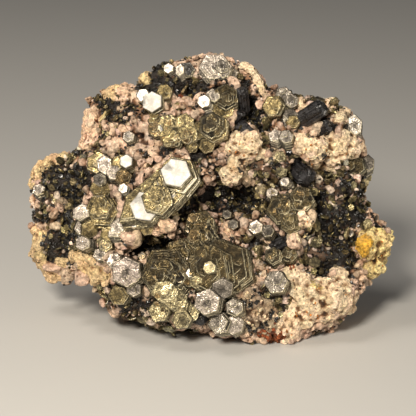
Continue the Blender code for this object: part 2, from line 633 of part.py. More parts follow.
def ground_block(group):
    """Everything below the surface that the specimen stands on."""
    shape = bmesh.new()
    bmesh.ops.create_cube(shape, size=BLOCK_SIDE * MM)
    bmesh.ops.translate(shape, vec=(0, 0, -BLOCK_SIDE * MM / 2), verts=shape.verts)
    return add_object("ground_block", shape, group, True)


def matrix(group, helpers, sockets):
    """The rock, with a socket for each crystal, cut off flat where it stands."""
    made = add_object("matrix", matrix_body(), group)
    fewer = made.modifiers.new("fewer", "DECIMATE")
    fewer.ratio = MATRIX_SHARE
    fewer.use_collapse_triangulate = True
    settle(made)
    for socket in sockets:
        boolean(made, socket, "DIFFERENCE")
    boolean(made, ground_block(helpers), "DIFFERENCE")
    settle(made)
    return made


# Finish

def finish(obj, material):
    obj.data.materials.clear()
    obj.data.materials.append(material)


def plain_material(name, colour, roughness, metallic):
    made = bpy.data.materials.new(name)
    made.use_nodes = True
    shader = made.node_tree.nodes["Principled BSDF"]
    shader.inputs["Base Color"].default_value = (*colour, 1.0)
    shader.inputs["Roughness"].default_value = roughness
    shader.inputs["Metallic"].default_value = metallic
    made.diffuse_color = (*colour, 1.0)
    return made


def near(a, b):
    """Whether the boxes round two objects in place come within a hair of each other."""
    for axis in range(3):
        first = [corner[axis] for corner in a.bound_box]
        second = [corner[axis] for corner in b.bound_box]
        if max(first) < min(second) or max(second) < min(first):
            return False
    return True


def main():
    for obj in list(bpy.data.objects):
        bpy.data.objects.remove(obj)
    shown = collection("mica_specimen", True)
    helpers = collection("cutters", False)
    crystals = []
    sockets = []
    for name, books in MICA.items():
        crystals.append(mica(name, books, shown))
        sockets.append(mica(name + "_socket", books, helpers, GAP))
    for name, prism in DARK_PRISMS.items():
        crystals.append(dark_prism(name, prism, shown))
        sockets.append(dark_prism(name + "_socket", prism, helpers, GAP))
    for index, crystal in enumerate(crystals):
        crowding = [socket for socket in sockets[:index] if near(crystal, socket)]
        for socket in crowding:
            boolean(crystal, socket, "DIFFERENCE")
        if crowding:
            settle(crystal)
    rock = matrix(shown, helpers, sockets)
    mica_look = plain_material("mica", (0.42, 0.38, 0.24), 0.3, 0.6)
    dark_look = plain_material("dark_prism", (0.03, 0.03, 0.035), 0.35, 0.0)
    for crystal in crystals:
        finish(crystal, dark_look if crystal.name in DARK_PRISMS else mica_look)
    finish(rock, plain_material("matrix", (0.55, 0.42, 0.32), 0.8, 0.0))


main()
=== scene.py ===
import math
from collections import namedtuple
from functools import cached_property

import bmesh
import bpy
import numpy as np
from mathutils import Matrix, Vector, bvhtree, kdtree, noise


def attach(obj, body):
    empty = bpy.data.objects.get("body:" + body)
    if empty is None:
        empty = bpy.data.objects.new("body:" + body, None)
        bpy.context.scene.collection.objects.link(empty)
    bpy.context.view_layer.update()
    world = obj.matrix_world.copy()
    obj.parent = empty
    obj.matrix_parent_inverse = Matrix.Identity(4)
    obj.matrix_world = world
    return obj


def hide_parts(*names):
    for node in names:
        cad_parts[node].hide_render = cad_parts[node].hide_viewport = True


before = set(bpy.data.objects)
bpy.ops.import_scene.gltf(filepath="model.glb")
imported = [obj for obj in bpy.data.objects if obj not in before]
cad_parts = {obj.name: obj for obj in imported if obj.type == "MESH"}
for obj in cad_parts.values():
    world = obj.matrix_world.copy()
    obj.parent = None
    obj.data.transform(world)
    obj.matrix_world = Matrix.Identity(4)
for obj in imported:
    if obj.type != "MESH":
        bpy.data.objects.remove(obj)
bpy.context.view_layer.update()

# The specimen's face leans back. Places on it are in millimetres, as in the part: u runs to the
# right, v up the face, and w out of it towards the eye, which looks straight at it.
MM = 0.001
FACE_LEAN = math.radians(18)
LEAN_SIN = math.sin(FACE_LEAN)
LEAN_COS = math.cos(FACE_LEAN)

# How far the middle of the face lies above the floor and in front of the origin
RISE = 35.4
SET_BACK = 13.0

# The eye: how far off it is, how wide it sees, and the place on the face that it looks at
EYE_DISTANCE = 430.0
VIEW_WIDTH = 104.0
VIEW_MIDDLE = (-1.0, -2.0)

# How far right and up of the eye the main light lies, and how far a face turns to mirror it
KEY_TURN = (-0.254, 0.332)
LIT = (-0.13, 0.17)

# Colours of the minerals
GOLD = (0.26, 0.20, 0.092)
KHAKI = (0.150, 0.118, 0.056)
BRIGHT = (0.38, 0.32, 0.18)
HONEY = (0.30, 0.24, 0.118)
OLIVE = (0.058, 0.043, 0.019)
DEEP = (0.048, 0.035, 0.016)
BRONZE = (0.19, 0.13, 0.058)
SILVER = (0.218, 0.192, 0.160)
PEARL = (0.34, 0.295, 0.25)
BLUSH = (0.238, 0.199, 0.170)
LIGHT = (0.58, 0.52, 0.44)
# The painted reflection of the main light: the tint of the top sheet of books turned to mirror it
PAINTED_REFLECTION_WHITE = (0.80, 0.765, 0.69)
SMOKE = (0.12, 0.115, 0.11)
PINK = (0.63, 0.462, 0.335)
PALE = (0.74, 0.60, 0.48)
PEACH = (0.86, 0.60, 0.41)
# Pale mica rims: partly their own paleness, mostly painted light on the lower right side
PALE_RIM_AND_PAINTED_LIGHT = (0.80, 0.72, 0.49)
CREAM = (0.95, 0.755, 0.51)
STRAW = (0.95, 0.75, 0.34)
DUN = (0.40, 0.305, 0.205)
OCHRE = (0.78, 0.57, 0.31)
YELLOW = (0.80, 0.44, 0.05)
BLACK = (0.014, 0.013, 0.012)
RUST = (0.27, 0.07, 0.02)
SHADE = (0.016, 0.011, 0.008)

# A book of mica: the middle of its top face, its radius to a corner, its depth, the way its face
# turns, the angle of a corner, its tint, how many growth steps its face has, its stretch, and how
# far each sheet below slides out from under the one above
Book = namedtuple(
    "Book", "u v w radius depth right up spin tint steps stretch slide", defaults=(2, 1.0, (0.08, -0.08))
)
# A dark prism: its middle, its length and width, and the way its long axis points
Prism = namedtuple("Prism", "u v w length width right up")
# A grain's shape: its points and triangles
Shape = namedtuple("Shape", "points triangles")
# A look: its material and the slot that this fills
Look = namedtuple("Look", "material slot")
# Placed grains: their points and triangles, and the tint and the painted shade of each point, from its
# height in its grain
Grains = namedtuple("Grains", "points triangles tints seats")

# The books of each group. The bright pale ones turn to mirror the main light, and the pale tint of their top
# sheet is a painted reflection of it over gold mica.
BOOKS = {
    "mica_centre_books": (
        Book(-9.1, 6.8, 6.9, 3.8, 2.4, *LIT, -11, PAINTED_REFLECTION_WHITE, 0),
        Book(-8.6, 6.3, 5.9, 4.8, 4.0, -0.08, 0.12, -11, KHAKI, 1),
        Book(-13.7, 0.0, 7.6, 3.9, 4.5, 0.0, 0.02, -13, KHAKI, 2),
        Book(-16.8, -1.6, 6.3, 3.75, 3.5, *LIT, -10, PAINTED_REFLECTION_WHITE, 0),
        Book(-11.0, 2.7, 5.6, 4.5, 5.0, -0.06, 0.08, -13, KHAKI, 1),
        Book(-15.2, 1.8, 4.6, 4.6, 5.0, -0.26, 0.33, 39, KHAKI, 0, 2.3),
    ),
    "mica_left_books": (
        Book(-28.3, -1.9, 2.0, 3.3, 3.0, -0.16, -0.10, 4, GOLD, 2),
        Book(-27.4, -2.9, 0.8, 3.9, 4.0, -0.05, -0.12, -2, GOLD, 0),
        Book(-26.6, -3.4, -0.4, 4.2, 3.5, 0.05, -0.15, 2, GOLD, 0),
        Book(-32.8, -3.1, 0.4, 2.05, 4.0, -0.28, 0.08, 28, PEARL, 1, 1.2),
    ),
    "mica_left_chevrons": (
        Book(-30.4, -7.6, 0.2, 2.4, 5.5, 0.42, -0.34, 20, GOLD, 1),
        Book(-32.6, -7.0, -0.6, 2.0, 6.0, -0.24, 0.0, 10, PEARL, 1),
        Book(-32.4, -10.9, -0.6, 2.0, 6.0, -0.18, -0.14, 30, PEARL, 1),
    ),
    "mica_upper_left_books": (
        Book(-28.7, 9.4, -1.6, 2.7, 4.5, -0.18, 0.08, 30, GOLD, 1, 1.15),
        Book(-26.9, 8.9, 0.2, 2.0, 3.8, -0.08, 0.04, 95, PEARL, 1, 1.25),
        Book(-28.1, 4.9, 0.3, 1.7, 3.8, -0.10, -0.18, 90, SILVER, 2),
        Book(-24.5, 6.9, 0.6, 1.9, 3.8, 0.12, 0.18, 60, PEARL, 1),
        Book(-27.8, 2.6, -1.0, 2.7, 5.0, 0.02, -0.32, 5, GOLD, 1),
    ),
    "mica_white_pair": (
        Book(-23.0, 9.0, 0.0, 2.4, 5.0, -0.10, -0.10, 15, GOLD, 1),
        Book(-21.5, 9.7, 1.2, 1.65, 3.8, *LIT, 25, PAINTED_REFLECTION_WHITE, 0),
        Book(-22.1, 5.4, 0.8, 2.2, 5.0, 0.16, -0.22, 10, BRONZE, 2),
    ),
    "mica_white_button": (Book(-22.25, 2.9, 2.6, 1.3, 3.8, *LIT, 15, LIGHT, 0),),
    "mica_top_left_bright": (
        Book(-17.25, 26.2, -3.6, 1.7, 3.8, *LIT, 5, LIGHT, 0),
        Book(-15.0, 24.6, -2.8, 2.6, 6.0, *LIT, 30, PAINTED_REFLECTION_WHITE, 0),
        Book(-11.7, 27.2, -4.2, 2.1, 5.0, 0.28, 0.24, 10, GOLD, 2),
        Book(-14.6, 20.8, -3.4, 1.9, 3.8, 0.02, 0.5, 0, GOLD, 1),
    ),
    "mica_cheek_button": (Book(-20.9, 15.9, -1.6, 1.55, 3.8, *LIT, 20, PEARL, 1),),
    "mica_top_dark_group": (
        Book(-8.0, 32.5, -8.4, 1.25, 3.8, *LIT, 85, LIGHT, 1, 1.35),
        Book(-6.1, 32.5, -9.2, 2.2, 5.0, 0.25, 0.05, 10, SMOKE, 2),
    ),
    "mica_crest_spark": (Book(-10.9, 33.0, -8.4, 1.3, 5.0, *LIT, 25, LIGHT, 0),),
    "mica_top_book": (
        Book(0.9, 33.4, -8.6, 3.9, 5.5, 0.06, 0.42, 5, PEARL, 1, 1.1),
        Book(2.7, 33.4, -7.9, 1.9, 2.5, 0.24, 0.30, 22, SILVER, 1),
        Book(4.6, 31.6, -10.0, 2.4, 5.0, 0.3, 0.2, 20, SILVER, 1),
    ),
    "mica_top_bright_rosette": (
        Book(-2.1, 24.7, -2.8, 1.75, 3.8, *LIT, 18, LIGHT, 0),
        Book(0.3, 26.2, -3.4, 1.9, 3.8, -0.02, 0.22, 40, SILVER, 1),
        Book(3.5, 25.8, -4.0, 3.5, 5.0, 0.22, 0.05, 30, OLIVE, 2),
        Book(3.0, 23.2, -4.8, 3.2, 5.0, 0.24, -0.18, 25, GOLD, 1),
    ),
    "mica_upper_rosette": (
        Book(-10.9, 18.8, 1.2, 2.9, 5.0, -0.10, 0.08, 8, HONEY, 2),
        Book(-6.9, 19.3, 1.6, 2.7, 5.0, 0.10, 0.14, 20, HONEY, 2),
        Book(-10.2, 15.8, 2.0, 3.1, 5.5, -0.05, -0.14, 2, HONEY, 3),
        Book(-6.2, 16.4, 2.3, 2.6, 5.5, 0.12, -0.08, 25, HONEY, 2),
        Book(-4.0, 17.2, 0.7, 2.7, 5.0, 0.42, 0.02, 10, HONEY, 1),
        Book(-14.3, 17.6, 0.2, 2.1, 5.0, -0.2, 0.0, 25, BRONZE, 1),
    ),
    "mica_rosette_foot": (Book(-4.9, 13.2, 0.4, 1.7, 3.8, 0.2, -0.28, 10, GOLD, 1),),
    "mica_dark_gold_book": (
        Book(0.0, 18.6, 1.8, 3.4, 3.0, 0.08, 0.04, 27, OLIVE, 3),
        Book(0.4, 18.2, 0.6, 3.9, 5.5, 0.12, 0.0, 27, GOLD, 0),
        Book(-1.2, 13.5, 0.4, 2.1, 5.0, 0.2, -0.3, 15, GOLD, 1),
    ),
    "mica_right_top_hex": (
        Book(15.4, 23.4, -4.8, 2.9, 4.5, 0.0, -0.12, 2, GOLD, 2),
        Book(18.0, 26.3, -7.4, 2.3, 5.0, 0.1, 0.12, 15, SILVER, 2),
        Book(20.0, 24.8, -6.8, 1.9, 3.8, 0.25, 0.1, 30, SILVER, 1),
    ),
    "mica_right_top_stack": (
        Book(19.7, 21.4, -6.0, 2.0, 3.8, 0.16, 0.6, 10, SILVER, 0),
        Book(20.3, 19.5, -5.2, 1.8, 3.8, 0.12, -0.12, 0, GOLD, 1),
    ),
    "mica_right_silver_pair": (
        Book(18.6, 15.9, -2.0, 1.9, 3.8, 0.05, 0.3, 15, SILVER, 1),
        Book(15.9, 16.1, -2.8, 1.9, 3.8, -0.02, 0.3, 40, PEARL, 1),
    ),
    "mica_right_edge_book": (
        Book(35.6, 18.6, -10.0, 2.3, 5.0, 0.2, 0.06, 85, LIGHT, 1, 1.25),
    ),
    "mica_right_dark_books": (
        Book(35.8, 8.6, -9.0, 2.8, 5.0, 0.1, -0.1, 40, OLIVE, 2),
        Book(39.2, 9.1, -12.6, 1.9, 3.8, 0.4, 0.05, 88, SILVER, 1, 1.2),
    ),
    "mica_right_centre_books": (
        Book(22.4, 0.2, 1.2, 3.3, 4.0, 0.06, 0.12, 55, OLIVE, 2),
        Book(17.6, -2.4, 1.0, 4.2, 5.0, -0.02, -0.10, 10, OLIVE, 3),
        Book(19.6, -6.0, 0.6, 2.9, 5.5, -0.05, -0.25, 30, KHAKI, 1),
        Book(15.0, 1.7, -1.0, 1.5, 4.5, -0.05, 0.28, 20, PEARL, 0),
    ),
    "mica_centre_spark": (Book(18.1, 4.6, -2.6, 1.3, 3.8, -0.26, 0.2, 50, PEARL, 0),),
    "mica_centre_silver": (
        Book(10.9, -6.7, -2.6, 1.95, 3.8, -0.04, 0.1, 20, PEARL, 1),
        Book(14.0, -7.8, -3.0, 1.7, 3.8, 0.1, 0.0, 0, SILVER, 1),
    ),
    "mica_cleft_high": (Book(3.7, -3.6, -5.4, 1.2, 3.8, 0.0, -0.1, 15, SILVER, 0),),
    "mica_cleft_low": (Book(5.3, -6.2, -4.4, 1.3, 3.8, 0.05, -0.2, 35, SILVER, 0),),
    "mica_great_rosette": (
        Book(-12.0, -19.6, 5.2, 5.4, 3.5, -0.10, -0.05, 3, OLIVE, 5),
        Book(-11.3, -18.3, 3.8, 6.7, 7.0, -0.08, -0.02, 3, OLIVE, 2, 1.0, (0.10, -0.14)),
        Book(-7.2, -13.6, 3.2, 4.4, 6.0, 0.0, 0.08, 20, OLIVE, 3),
        Book(-5.2, -18.6, 4.6, 3.6, 6.0, 0.12, 0.0, 8, DEEP, 2),
        Book(-4.0, -20.6, 5.8, 1.7, 3.8, 0.02, -0.2, 30, BRIGHT, 0),
        Book(-5.4, -18.2, 5.6, 1.2, 3.0, *LIT, 10, LIGHT, 0),
        Book(-10.6, -23.8, 4.8, 2.8, 5.0, 0.0, -0.10, 10, BRIGHT, 0, 1.1),
        Book(-11.9, -22.9, 6.2, 2.7, 2.2, 0.0, -0.10, 10, BRIGHT, 0, 1.2, (0.42, -0.40)),
        Book(-9.6, -25.2, 5.2, 2.3, 2.0, 0.04, -0.10, 8, BRIGHT, 0, 1.2, (0.40, -0.44)),
        Book(-8.0, -26.4, 4.6, 2.2, 5.0, 0.04, -0.14, 14, BRIGHT, 0, 1.1),
        Book(-13.2, -28.0, 4.2, 2.8, 5.0, 0.0, -0.2, 0, BRIGHT, 1),
    ),
    "mica_rosette_button": (Book(-7.6, -30.0, 4.6, 2.5, 4.5, 0.0, -0.16, 2, BRIGHT, 2),),
    "mica_rosette_crown": (
        Book(-3.0, -6.2, 1.2, 4.2, 5.0, 0.10, 0.28, 15, OLIVE, 3),
        Book(-2.2, -9.6, 2.8, 4.3, 6.0, 0.12, 0.14, 5, OLIVE, 3),
    ),
    "mica_great_right_books": (
        Book(2.8, -17.0, 3.0, 7.5, 5.0, 0.12, -0.05, -21, DEEP, 0, 1.0, (0.12, -0.12)),
        Book(2.1, -16.8, 3.8, 7.2, 2.0, 0.12, -0.05, -21, DEEP, 0, 1.0, (0.12, -0.12)),
        Book(0.8, -17.8, 4.7, 5.2, 4.0, 0.12, -0.05, 99, OLIVE, 0, 1.3, (0.14, -0.12)),
        Book(-0.9, -17.6, 5.6, 5.2, 4.0, 0.10, -0.05, 99, OLIVE, 1, 1.3, (0.14, -0.12)),
        Book(-0.7, -16.9, 6.2, 1.7, 3.0, -0.08, 0.1, 15, BRIGHT, 0),
        Book(2.6, -22.4, 5.0, 3.0, 6.0, 0.16, -0.28, 25, SILVER, 0),
    ),
    "mica_silver_fan": (Book(-1.25, -25.6, 8.0, 3.25, 7.0, 0.0, -0.1, 18, PEARL, 0),),
    "mica_foot_books": (
        Book(5.7, -26.9, 5.4, 2.35, 6.0, 0.08, 0.02, 35, SILVER, 2),
        Book(1.9, -30.9, 4.4, 2.95, 5.5, -0.05, -0.08, 8, SILVER, 2),
        Book(5.6, -31.3, 3.6, 2.5, 5.0, 0.12, -0.1, 20, PEARL, 1),
    ),
    "mica_lower_left_books": (
        Book(-21.4, -18.0, 3.4, 3.9, 5.0, -0.02, -0.06, 35, BLUSH, 0),
        Book(-24.5, -15.2, 1.8, 2.0, 3.8, -0.12, 0.05, 10, PEARL, 2),
        Book(-19.6, -22.4, 1.8, 2.0, 3.8, 0.0, -0.15, 30, PEARL, 1),
    ),
    "mica_lower_left_gold": (Book(-23.4, -24.0, 0.8, 2.6, 5.0, -0.10, -0.26, 0, GOLD, 1),),
    "mica_left_foot_silver": (
        Book(-28.1, -13.7, 0.0, 1.7, 3.8, -0.1, 0.0, 15, PEARL, 1),
        Book(-26.7, -11.2, 0.2, 1.9, 3.8, -0.05, 0.1, 40, GOLD, 1),
    ),
    "mica_left_centre_plates": (
        Book(-23.6, -6.7, 1.8, 2.4, 5.0, -0.26, 0.34, 42, SILVER, 1, 1.4),
        Book(-26.0, -8.6, 1.2, 2.0, 3.8, -0.05, -0.2, 20, GOLD, 1),
    ),
    "mica_silver_button": (Book(-19.6, -5.9, 3.2, 1.35, 3.8, *LIT, 25, PEARL, 1),),
    "mica_gold_button": (Book(-16.3, -7.4, 2.4, 1.7, 3.8, 0.08, -0.26, 10, GOLD, 1),),
    "mica_lower_right_hex": (Book(16.0, -20.6, 3.2, 2.95, 4.5, 0.0, -0.04, 4, SILVER, 1),),
    "mica_lower_right_pair": (
        Book(15.5, -14.1, 0.4, 2.35, 5.0, 0.04, 0.08, 25, OLIVE, 2),
        Book(19.4, -13.6, -0.6, 2.2, 5.0, 0.14, 0.12, 50, OLIVE, 2),
    ),
    "mica_lobe_silver": (Book(-43.3, 2.7, -16.0, 1.7, 3.8, -0.02, 0.3, 20, PEARL, 1),),
}

# The black crystals
DARK_PRISMS = {
    "dark_prism_shoulder": Prism(24.6, 21.2, -7.6, 8.5, 5.6, 0.74, 0.46),
    "dark_prism_shoulder_low": Prism(27.6, 17.4, -9.6, 6.5, 4.2, 0.62, 0.36),
    "dark_prism_right": Prism(22.2, 7.0, -7.6, 7.0, 5.8, 0.45, -0.5),
    "dark_prism_right_high": Prism(20.0, 11.2, -7.0, 5.0, 3.4, -0.3, 0.7),
    "dark_prism_cave_high": Prism(7.7, 24.8, -8.4, 7.6, 3.0, -0.12, 0.8),
    "dark_prism_cave": Prism(6.3, 20.6, -8.0, 4.4, 2.8, 0.5, 0.6),
    "dark_prism_cave_low": Prism(8.6, 17.4, -5.6, 5.4, 3.0, 0.62, -0.66),
    "dark_prism_low_right": Prism(17.0, -10.9, -5.6, 5.2, 3.6, 0.76, 0.36),
    "dark_prism_foot": Prism(-3.8, -29.2, 0.2, 5.4, 3.4, 0.8, -0.2),
}

# Single books on the rock, here with their height above it in place of w
STRAYS = (
    Book(-27.3, 21.2, 1.4, 1.9, 0.5, -0.79, 0.56, 30, STRAW, 0),
    Book(12.9, -18.6, 0.8, 0.62, 1.0, -0.05, 0.2, -15, LIGHT, 0, 2.2),
    Book(1.2, -12.2, 0.9, 1.2, 2.0, *LIT, 20, LIGHT, 0),
    Book(-17.6, -13.8, 0.8, 1.1, 2.5, -0.1, 0.1, 15, BRONZE, 0),
    Book(34.6, -8.2, 0.8, 1.0, 1.5, 0.1, 0.2, 40, SILVER, 0),
    Book(-27.8, -10.3, 1.0, 1.2, 2.5, -0.1, -0.2, 20, BRIGHT, 0),
)

# Smooth ridges and knobs: the mineral, the radius, and the places along the ridge
RIDGES = (
    ("cream", 1.15, ((7.7, 33.8), (9.0, 33.3), (10.3, 32.0), (11.2, 30.3), (11.9, 28.5), (12.9, 26.8))),
    ("yellow", 1.15, ((38.4, -9.4), (38.8, -10.6), (38.5, -12.0), (38.0, -13.4))),
    ("straw", 1.5, ((41.8, -16.8), (42.2, -17.0))),
    ("cream", 1.3, ((26.8, -20.0), (25.6, -21.4), (24.8, -22.8))),
    ("cream", 1.1, ((29.5, -23.0), (31.0, -24.6), (30.5, -26.4), (28.8, -27.2))),
    ("pink", 1.7, ((-21.3, -9.2), (-20.7, -10.1))),
    ("cream", 0.9, ((21.1, -9.0), (21.1, -9.5))),
)

# The tint of each mineral that grains fuse into
COLOURS = {
    "pink": PINK, "cream": CREAM, "straw": STRAW, "yellow": YELLOW,
    "peach": PEACH, "ochre": OCHRE, "dun": DUN,
}

# The colour of the rock under the grains of each mineral, darker than the grains: partly the rock's own
# colour and partly painted shade in the gaps between them
GROUND = {
    "pink": (0.30, 0.165, 0.09), "cream": (0.50, 0.34, 0.20), "straw": (0.45, 0.32, 0.15),
    "dun": (0.22, 0.15, 0.09), "rubble": (0.10, 0.06, 0.035), "ochre": (0.40, 0.25, 0.11),
    "yellow": (0.60, 0.33, 0.05), "peach": (0.42, 0.24, 0.12), "dark": SHADE, "rust": (0.16, 0.05, 0.02),
}

# How ragged the outlines of the flaky groups are
RAGGED = {
    "mica_upper_rosette": 0.17, "mica_great_rosette": 0.13, "mica_rosette_crown": 0.14,
    "mica_right_centre_books": 0.08, "mica_rosette_foot": 0.1, "mica_lower_right_pair": 0.06,
}

# Where each mineral lies on the front: the middle and the radius of each patch
PATCHES = {
    "cream": (
        (6.0, 13.8, 2.2), (9.0, 13.6, 2.3), (11.0, 12.2, 1.4), (7.8, 11.2, 1.7), (4.8, 6.9, 1.8),
        (22.8, 13.6, 1.7), (25.0, 12.4, 2.0), (27.4, 13.0, 1.6), (25.4, 9.8, 1.7), (26.0, 8.2, 1.0),
        (29.5, 15.4, 1.3), (31.5, 14.4, 1.5), (33.6, 15.6, 1.4), (35.4, 13.2, 1.4), (32.2, 11.4, 1.8),
        (30.0, 8.8, 1.7), (30.6, 6.8, 1.2), (34.0, 12.4, 1.3), (20.0, -18.8, 1.6), (29.4, 24.6, 1.2),
        (33.0, 20.8, 1.3), (23.0, 24.0, 1.0), (22.0, -21.2, 2.0), (25.0, -25.0, 3.2), (29.5, -22.5, 2.4),
        (32.0, -21.2, 2.2), (33.2, -25.0, 2.4), (28.2, -27.5, 2.6), (22.0, -28.8, 2.6), (18.2, -32.5, 2.4),
        (32.0, -18.8, 1.4), (22.4, -3.0, 1.3), (23.4, -5.0, 1.5), (21.8, -6.8, 1.2), (20.8, -9.2, 1.2),
        (-27.0, -5.0, 1.2),
    ),
    "ochre": (
        (-43.5, 7.5, 1.8), (-41.8, 9.2, 1.6), (-38.0, 10.0, 1.8), (-44.8, 4.5, 1.0), (-43.0, -9.0, 1.4),
        (-43.8, -13.0, 1.9), (-41.8, -15.5, 1.6), (-40.0, -18.0, 1.6), (-38.7, -19.2, 1.2),
        (-36.8, -15.5, 1.1), (-34.2, -13.8, 1.4), (-31.8, -13.8, 1.4), (-30.5, -16.2, 2.0),
        (-28.0, -18.0, 2.0), (-26.2, -20.8, 1.3), (-28.0, 26.8, 1.4), (-25.0, 27.0, 1.8),
        (-16.5, 30.8, 1.4),
    ),
    "straw": (
        (40.7, -12.5, 2.8), (43.2, -10.0, 1.8), (42.0, -15.5, 2.0), (41.0, -17.5, 1.7), (38.6, -15.8, 1.4),
        (38.8, -8.6, 1.5), (26.0, -22.0, 1.6),
    ),
    "dun": (
        (12.5, -31.5, 2.6), (14.5, -28.8, 2.2), (9.5, -28.6, 2.6), (9.0, -24.8, 2.2), (12.5, -26.0, 2.0),
        (8.5, -31.0, 2.0), (-9.0, 1.6, 1.2), (-38.0, -0.6, 1.6), (15.4, 11.6, 1.8), (14.4, 9.4, 1.3),
        (7.6, 8.0, 1.5), (9.2, 5.4, 1.3), (28.6, 11.0, 1.2),
    ),
    "rubble": (
        (12.0, 3.6, 3.2), (16.5, 7.0, 3.0), (22.0, 6.0, 3.6), (26.5, 4.5, 3.4), (31.0, 6.0, 3.0),
        (35.5, 3.5, 3.2), (30.5, 0.5, 2.6), (24.0, -8.5, 2.6), (26.0, -12.5, 3.2), (33.5, -8.2, 2.6),
        (14.0, -23.0, 2.4), (17.0, -26.0, 2.6), (10.5, -10.5, 2.4), (-36.5, 8.4, 2.0), (-40.0, 0.5, 2.4),
        (-31.0, -12.0, 1.8), (-26.0, -22.5, 2.2), (-17.0, -30.0, 2.6), (-12.0, -32.4, 2.0),
        (-5.0, -33.0, 2.0), (12.4, 13.4, 1.4), (17.4, 9.6, 1.8), (34.6, 8.8, 2.0), (10.6, 8.6, 1.6),
        (2.0, 4.6, 1.4), (24.0, 25.4, 1.8), (27.6, 25.2, 1.8), (31.0, 23.0, 1.6), (-2.6, 8.6, 1.2),
    ),
    "yellow": ((38.4, -11.4, 1.5), (28.6, -25.8, 0.7)),
    "peach": (
        (-30.5, 20.5, 1.8), (-30.0, 18.2, 1.8), (-30.5, 16.2, 1.8), (-31.2, 14.2, 1.4), (-22.5, 26.2, 1.8),
        (-12.8, -6.4, 2.0), (3.8, -8.2, 1.3),
    ),
    # Dark minerals; some of these patches lie in clefts and beside the books, where their black grains are
    # painted shadow.
    "dark": (
        (-37.5, 6.0, 4.2), (-33.0, 4.5, 3.0), (-39.5, 3.0, 2.5), (-35.0, 1.0, 3.0), (-38.5, -10.0, 3.6),
        (-40.0, -14.0, 2.6), (-35.5, -12.5, 3.0), (-36.0, -5.0, 2.5), (-42.5, -4.0, 2.0),
        (-33.0, -8.0, 2.6), (-25.5, 23.5, 2.4), (-28.0, 25.5, 1.4), (-22.0, 20.0, 1.6), (-29.2, 13.0, 1.9),
        (-33.0, 10.8, 2.0), (-12.5, 31.0, 3.8), (-16.0, 27.5, 2.6), (-8.5, 28.5, 2.4), (-5.5, 27.5, 2.2),
        (3.2, 29.2, 2.6), (-3.0, 28.8, 2.0), (9.5, 23.0, 3.0), (8.0, 19.0, 2.4), (6.4, 31.0, 1.5),
        (8.6, 28.4, 1.6), (12.8, 31.4, 1.5), (14.2, 28.8, 1.3), (-4.6, 11.0, 1.3), (-2.6, 11.6, 1.4),
        (0.6, 13.6, 1.5), (2.4, 15.4, 1.2), (30.5, -4.5, 4.6), (35.0, -3.5, 3.4), (30.0, -8.5, 3.2),
        (34.5, -9.5, 2.4), (31.5, -14.5, 3.4), (27.0, -17.5, 2.4), (33.5, -13.5, 2.6), (27.0, 1.0, 2.8),
        (22.0, 6.0, 3.0), (34.0, 4.0, 3.2), (37.0, 2.5, 2.0), (17.0, -10.5, 2.2), (-6.0, 1.2, 2.8),
        (-1.0, 0.2, 3.3), (4.5, 0.2, 3.3), (9.5, -1.0, 3.4), (13.5, -0.5, 2.6), (10.0, 3.0, 2.2),
        (-10.5, -2.8, 1.4), (-16.0, -10.5, 3.6), (-12.0, -11.6, 2.6), (-8.0, -1.8, 3.2), (-6.4, -4.4, 2.0),
        (-4.6, 4.6, 1.6), (-17.5, -25.5, 2.2), (-14.5, -24.5, 1.8), (-21.5, -26.0, 1.8),
        (-12.5, -28.5, 1.4), (-25.5, -9.5, 1.3), (-4.2, -26.5, 0.9), (12.0, -23.5, 1.2), (-17.6, 16.4, 1.2),
        (-19.8, 23.2, 1.1), (-26.7, 16.4, 1.1), (-19.4, 5.2, 1.1), (-10.6, 12.6, 1.1), (-15.6, 22.6, 1.1),
        (-22.6, 12.6, 1.0), (-41.6, -12.6, 1.2), (-24.6, 20.4, 1.3), (-43.0, -15.4, 1.1), (4.6, 10.0, 1.1),
        (2.0, 8.4, 1.0), (12.9, 17.6, 1.3), (11.4, 19.4, 1.3), (14.2, 20.2, 1.2),
    ),
    "rust": (
        (-14.8, -18.1, 0.5), (-17.0, -16.7, 0.5), (-5.75, -9.5, 0.5), (-4.25, -22.5, 0.6),
        (-5.1, -26.7, 0.7), (15.0, -34.0, 2.2), (17.5, -33.6, 1.5), (12.4, -33.0, 1.2), (16.0, -31.4, 1.0),
        (-7.5, 25.5, 0.9), (-29.0, 20.0, 0.8), (31.0, -22.2, 0.7), (20.0, -16.9, 0.6), (13.6, 18.4, 1.2),
    ),
}

# Pink feldspar lies where no patch reaches
MINERALS = (*PATCHES, "pink")

# The rock: how far it lies inside the matrix solid, its longest edges, and the gap under it
ROCK_INSET = 0.45
ROCK_EDGE = 0.95
FLOOR_GAP = 0.02

# The sheets of a book: how thick, how much they lean about each axis in degrees, the same of the
# growth steps on its face, the rise of a step, and how far the foot of a sheet spreads out as a
# dark skirt of painted shadow
SHEET_DEPTHS = (0.2, 0.42)
SHEET_LEAN = (2.2, 2.2, 1.5)
STEP_LEAN = (4.5, 4.5)
STEP_RISE = 0.17
SKIRT = 0.19

# The two skins that grains fuse into: how fine and how rough they are
FELDSPAR_SKIN = (0.56, 0.09)
CRUST_SKIN = (0.42, 0.2)

# The depth of the face's rim, and the depth and the turn away from the eye at which the back begins
RIM_DEPTH = -12.0
BACK_DEPTH = -22.0
BACK_TURN = -0.05

# How far patches of dark minerals and of crusts reach, as a share of their radius
DARK_REACH = 1.2
CRUST_REACH = 0.96

# Clouds that mix the minerals, with their fineness and the values past which each one comes:
# dark and ochre behind, rubble in the dark, dark gaps in the feldspar, and spots on the skins
BROAD_CLOUDS = 110.0
DARK_ABOVE = 0.28
OCHRE_BELOW = -0.42
SMALL_CLOUDS = 420.0
RUBBLE_ABOVE = 0.5
GAP_CLOUDS = 560.0
GAP_ABOVE = 0.22
SPOT_CLOUDS = 300.0

# How far grains and spots keep from the books, how far round the books their painted shadow reaches on the
# skins, and how high grains begin
GRAIN_MARGIN = 0.25
SPOT_MARGIN = 0.2
SHADE_MARGIN = 0.6
GRAINS_FROM = 0.35

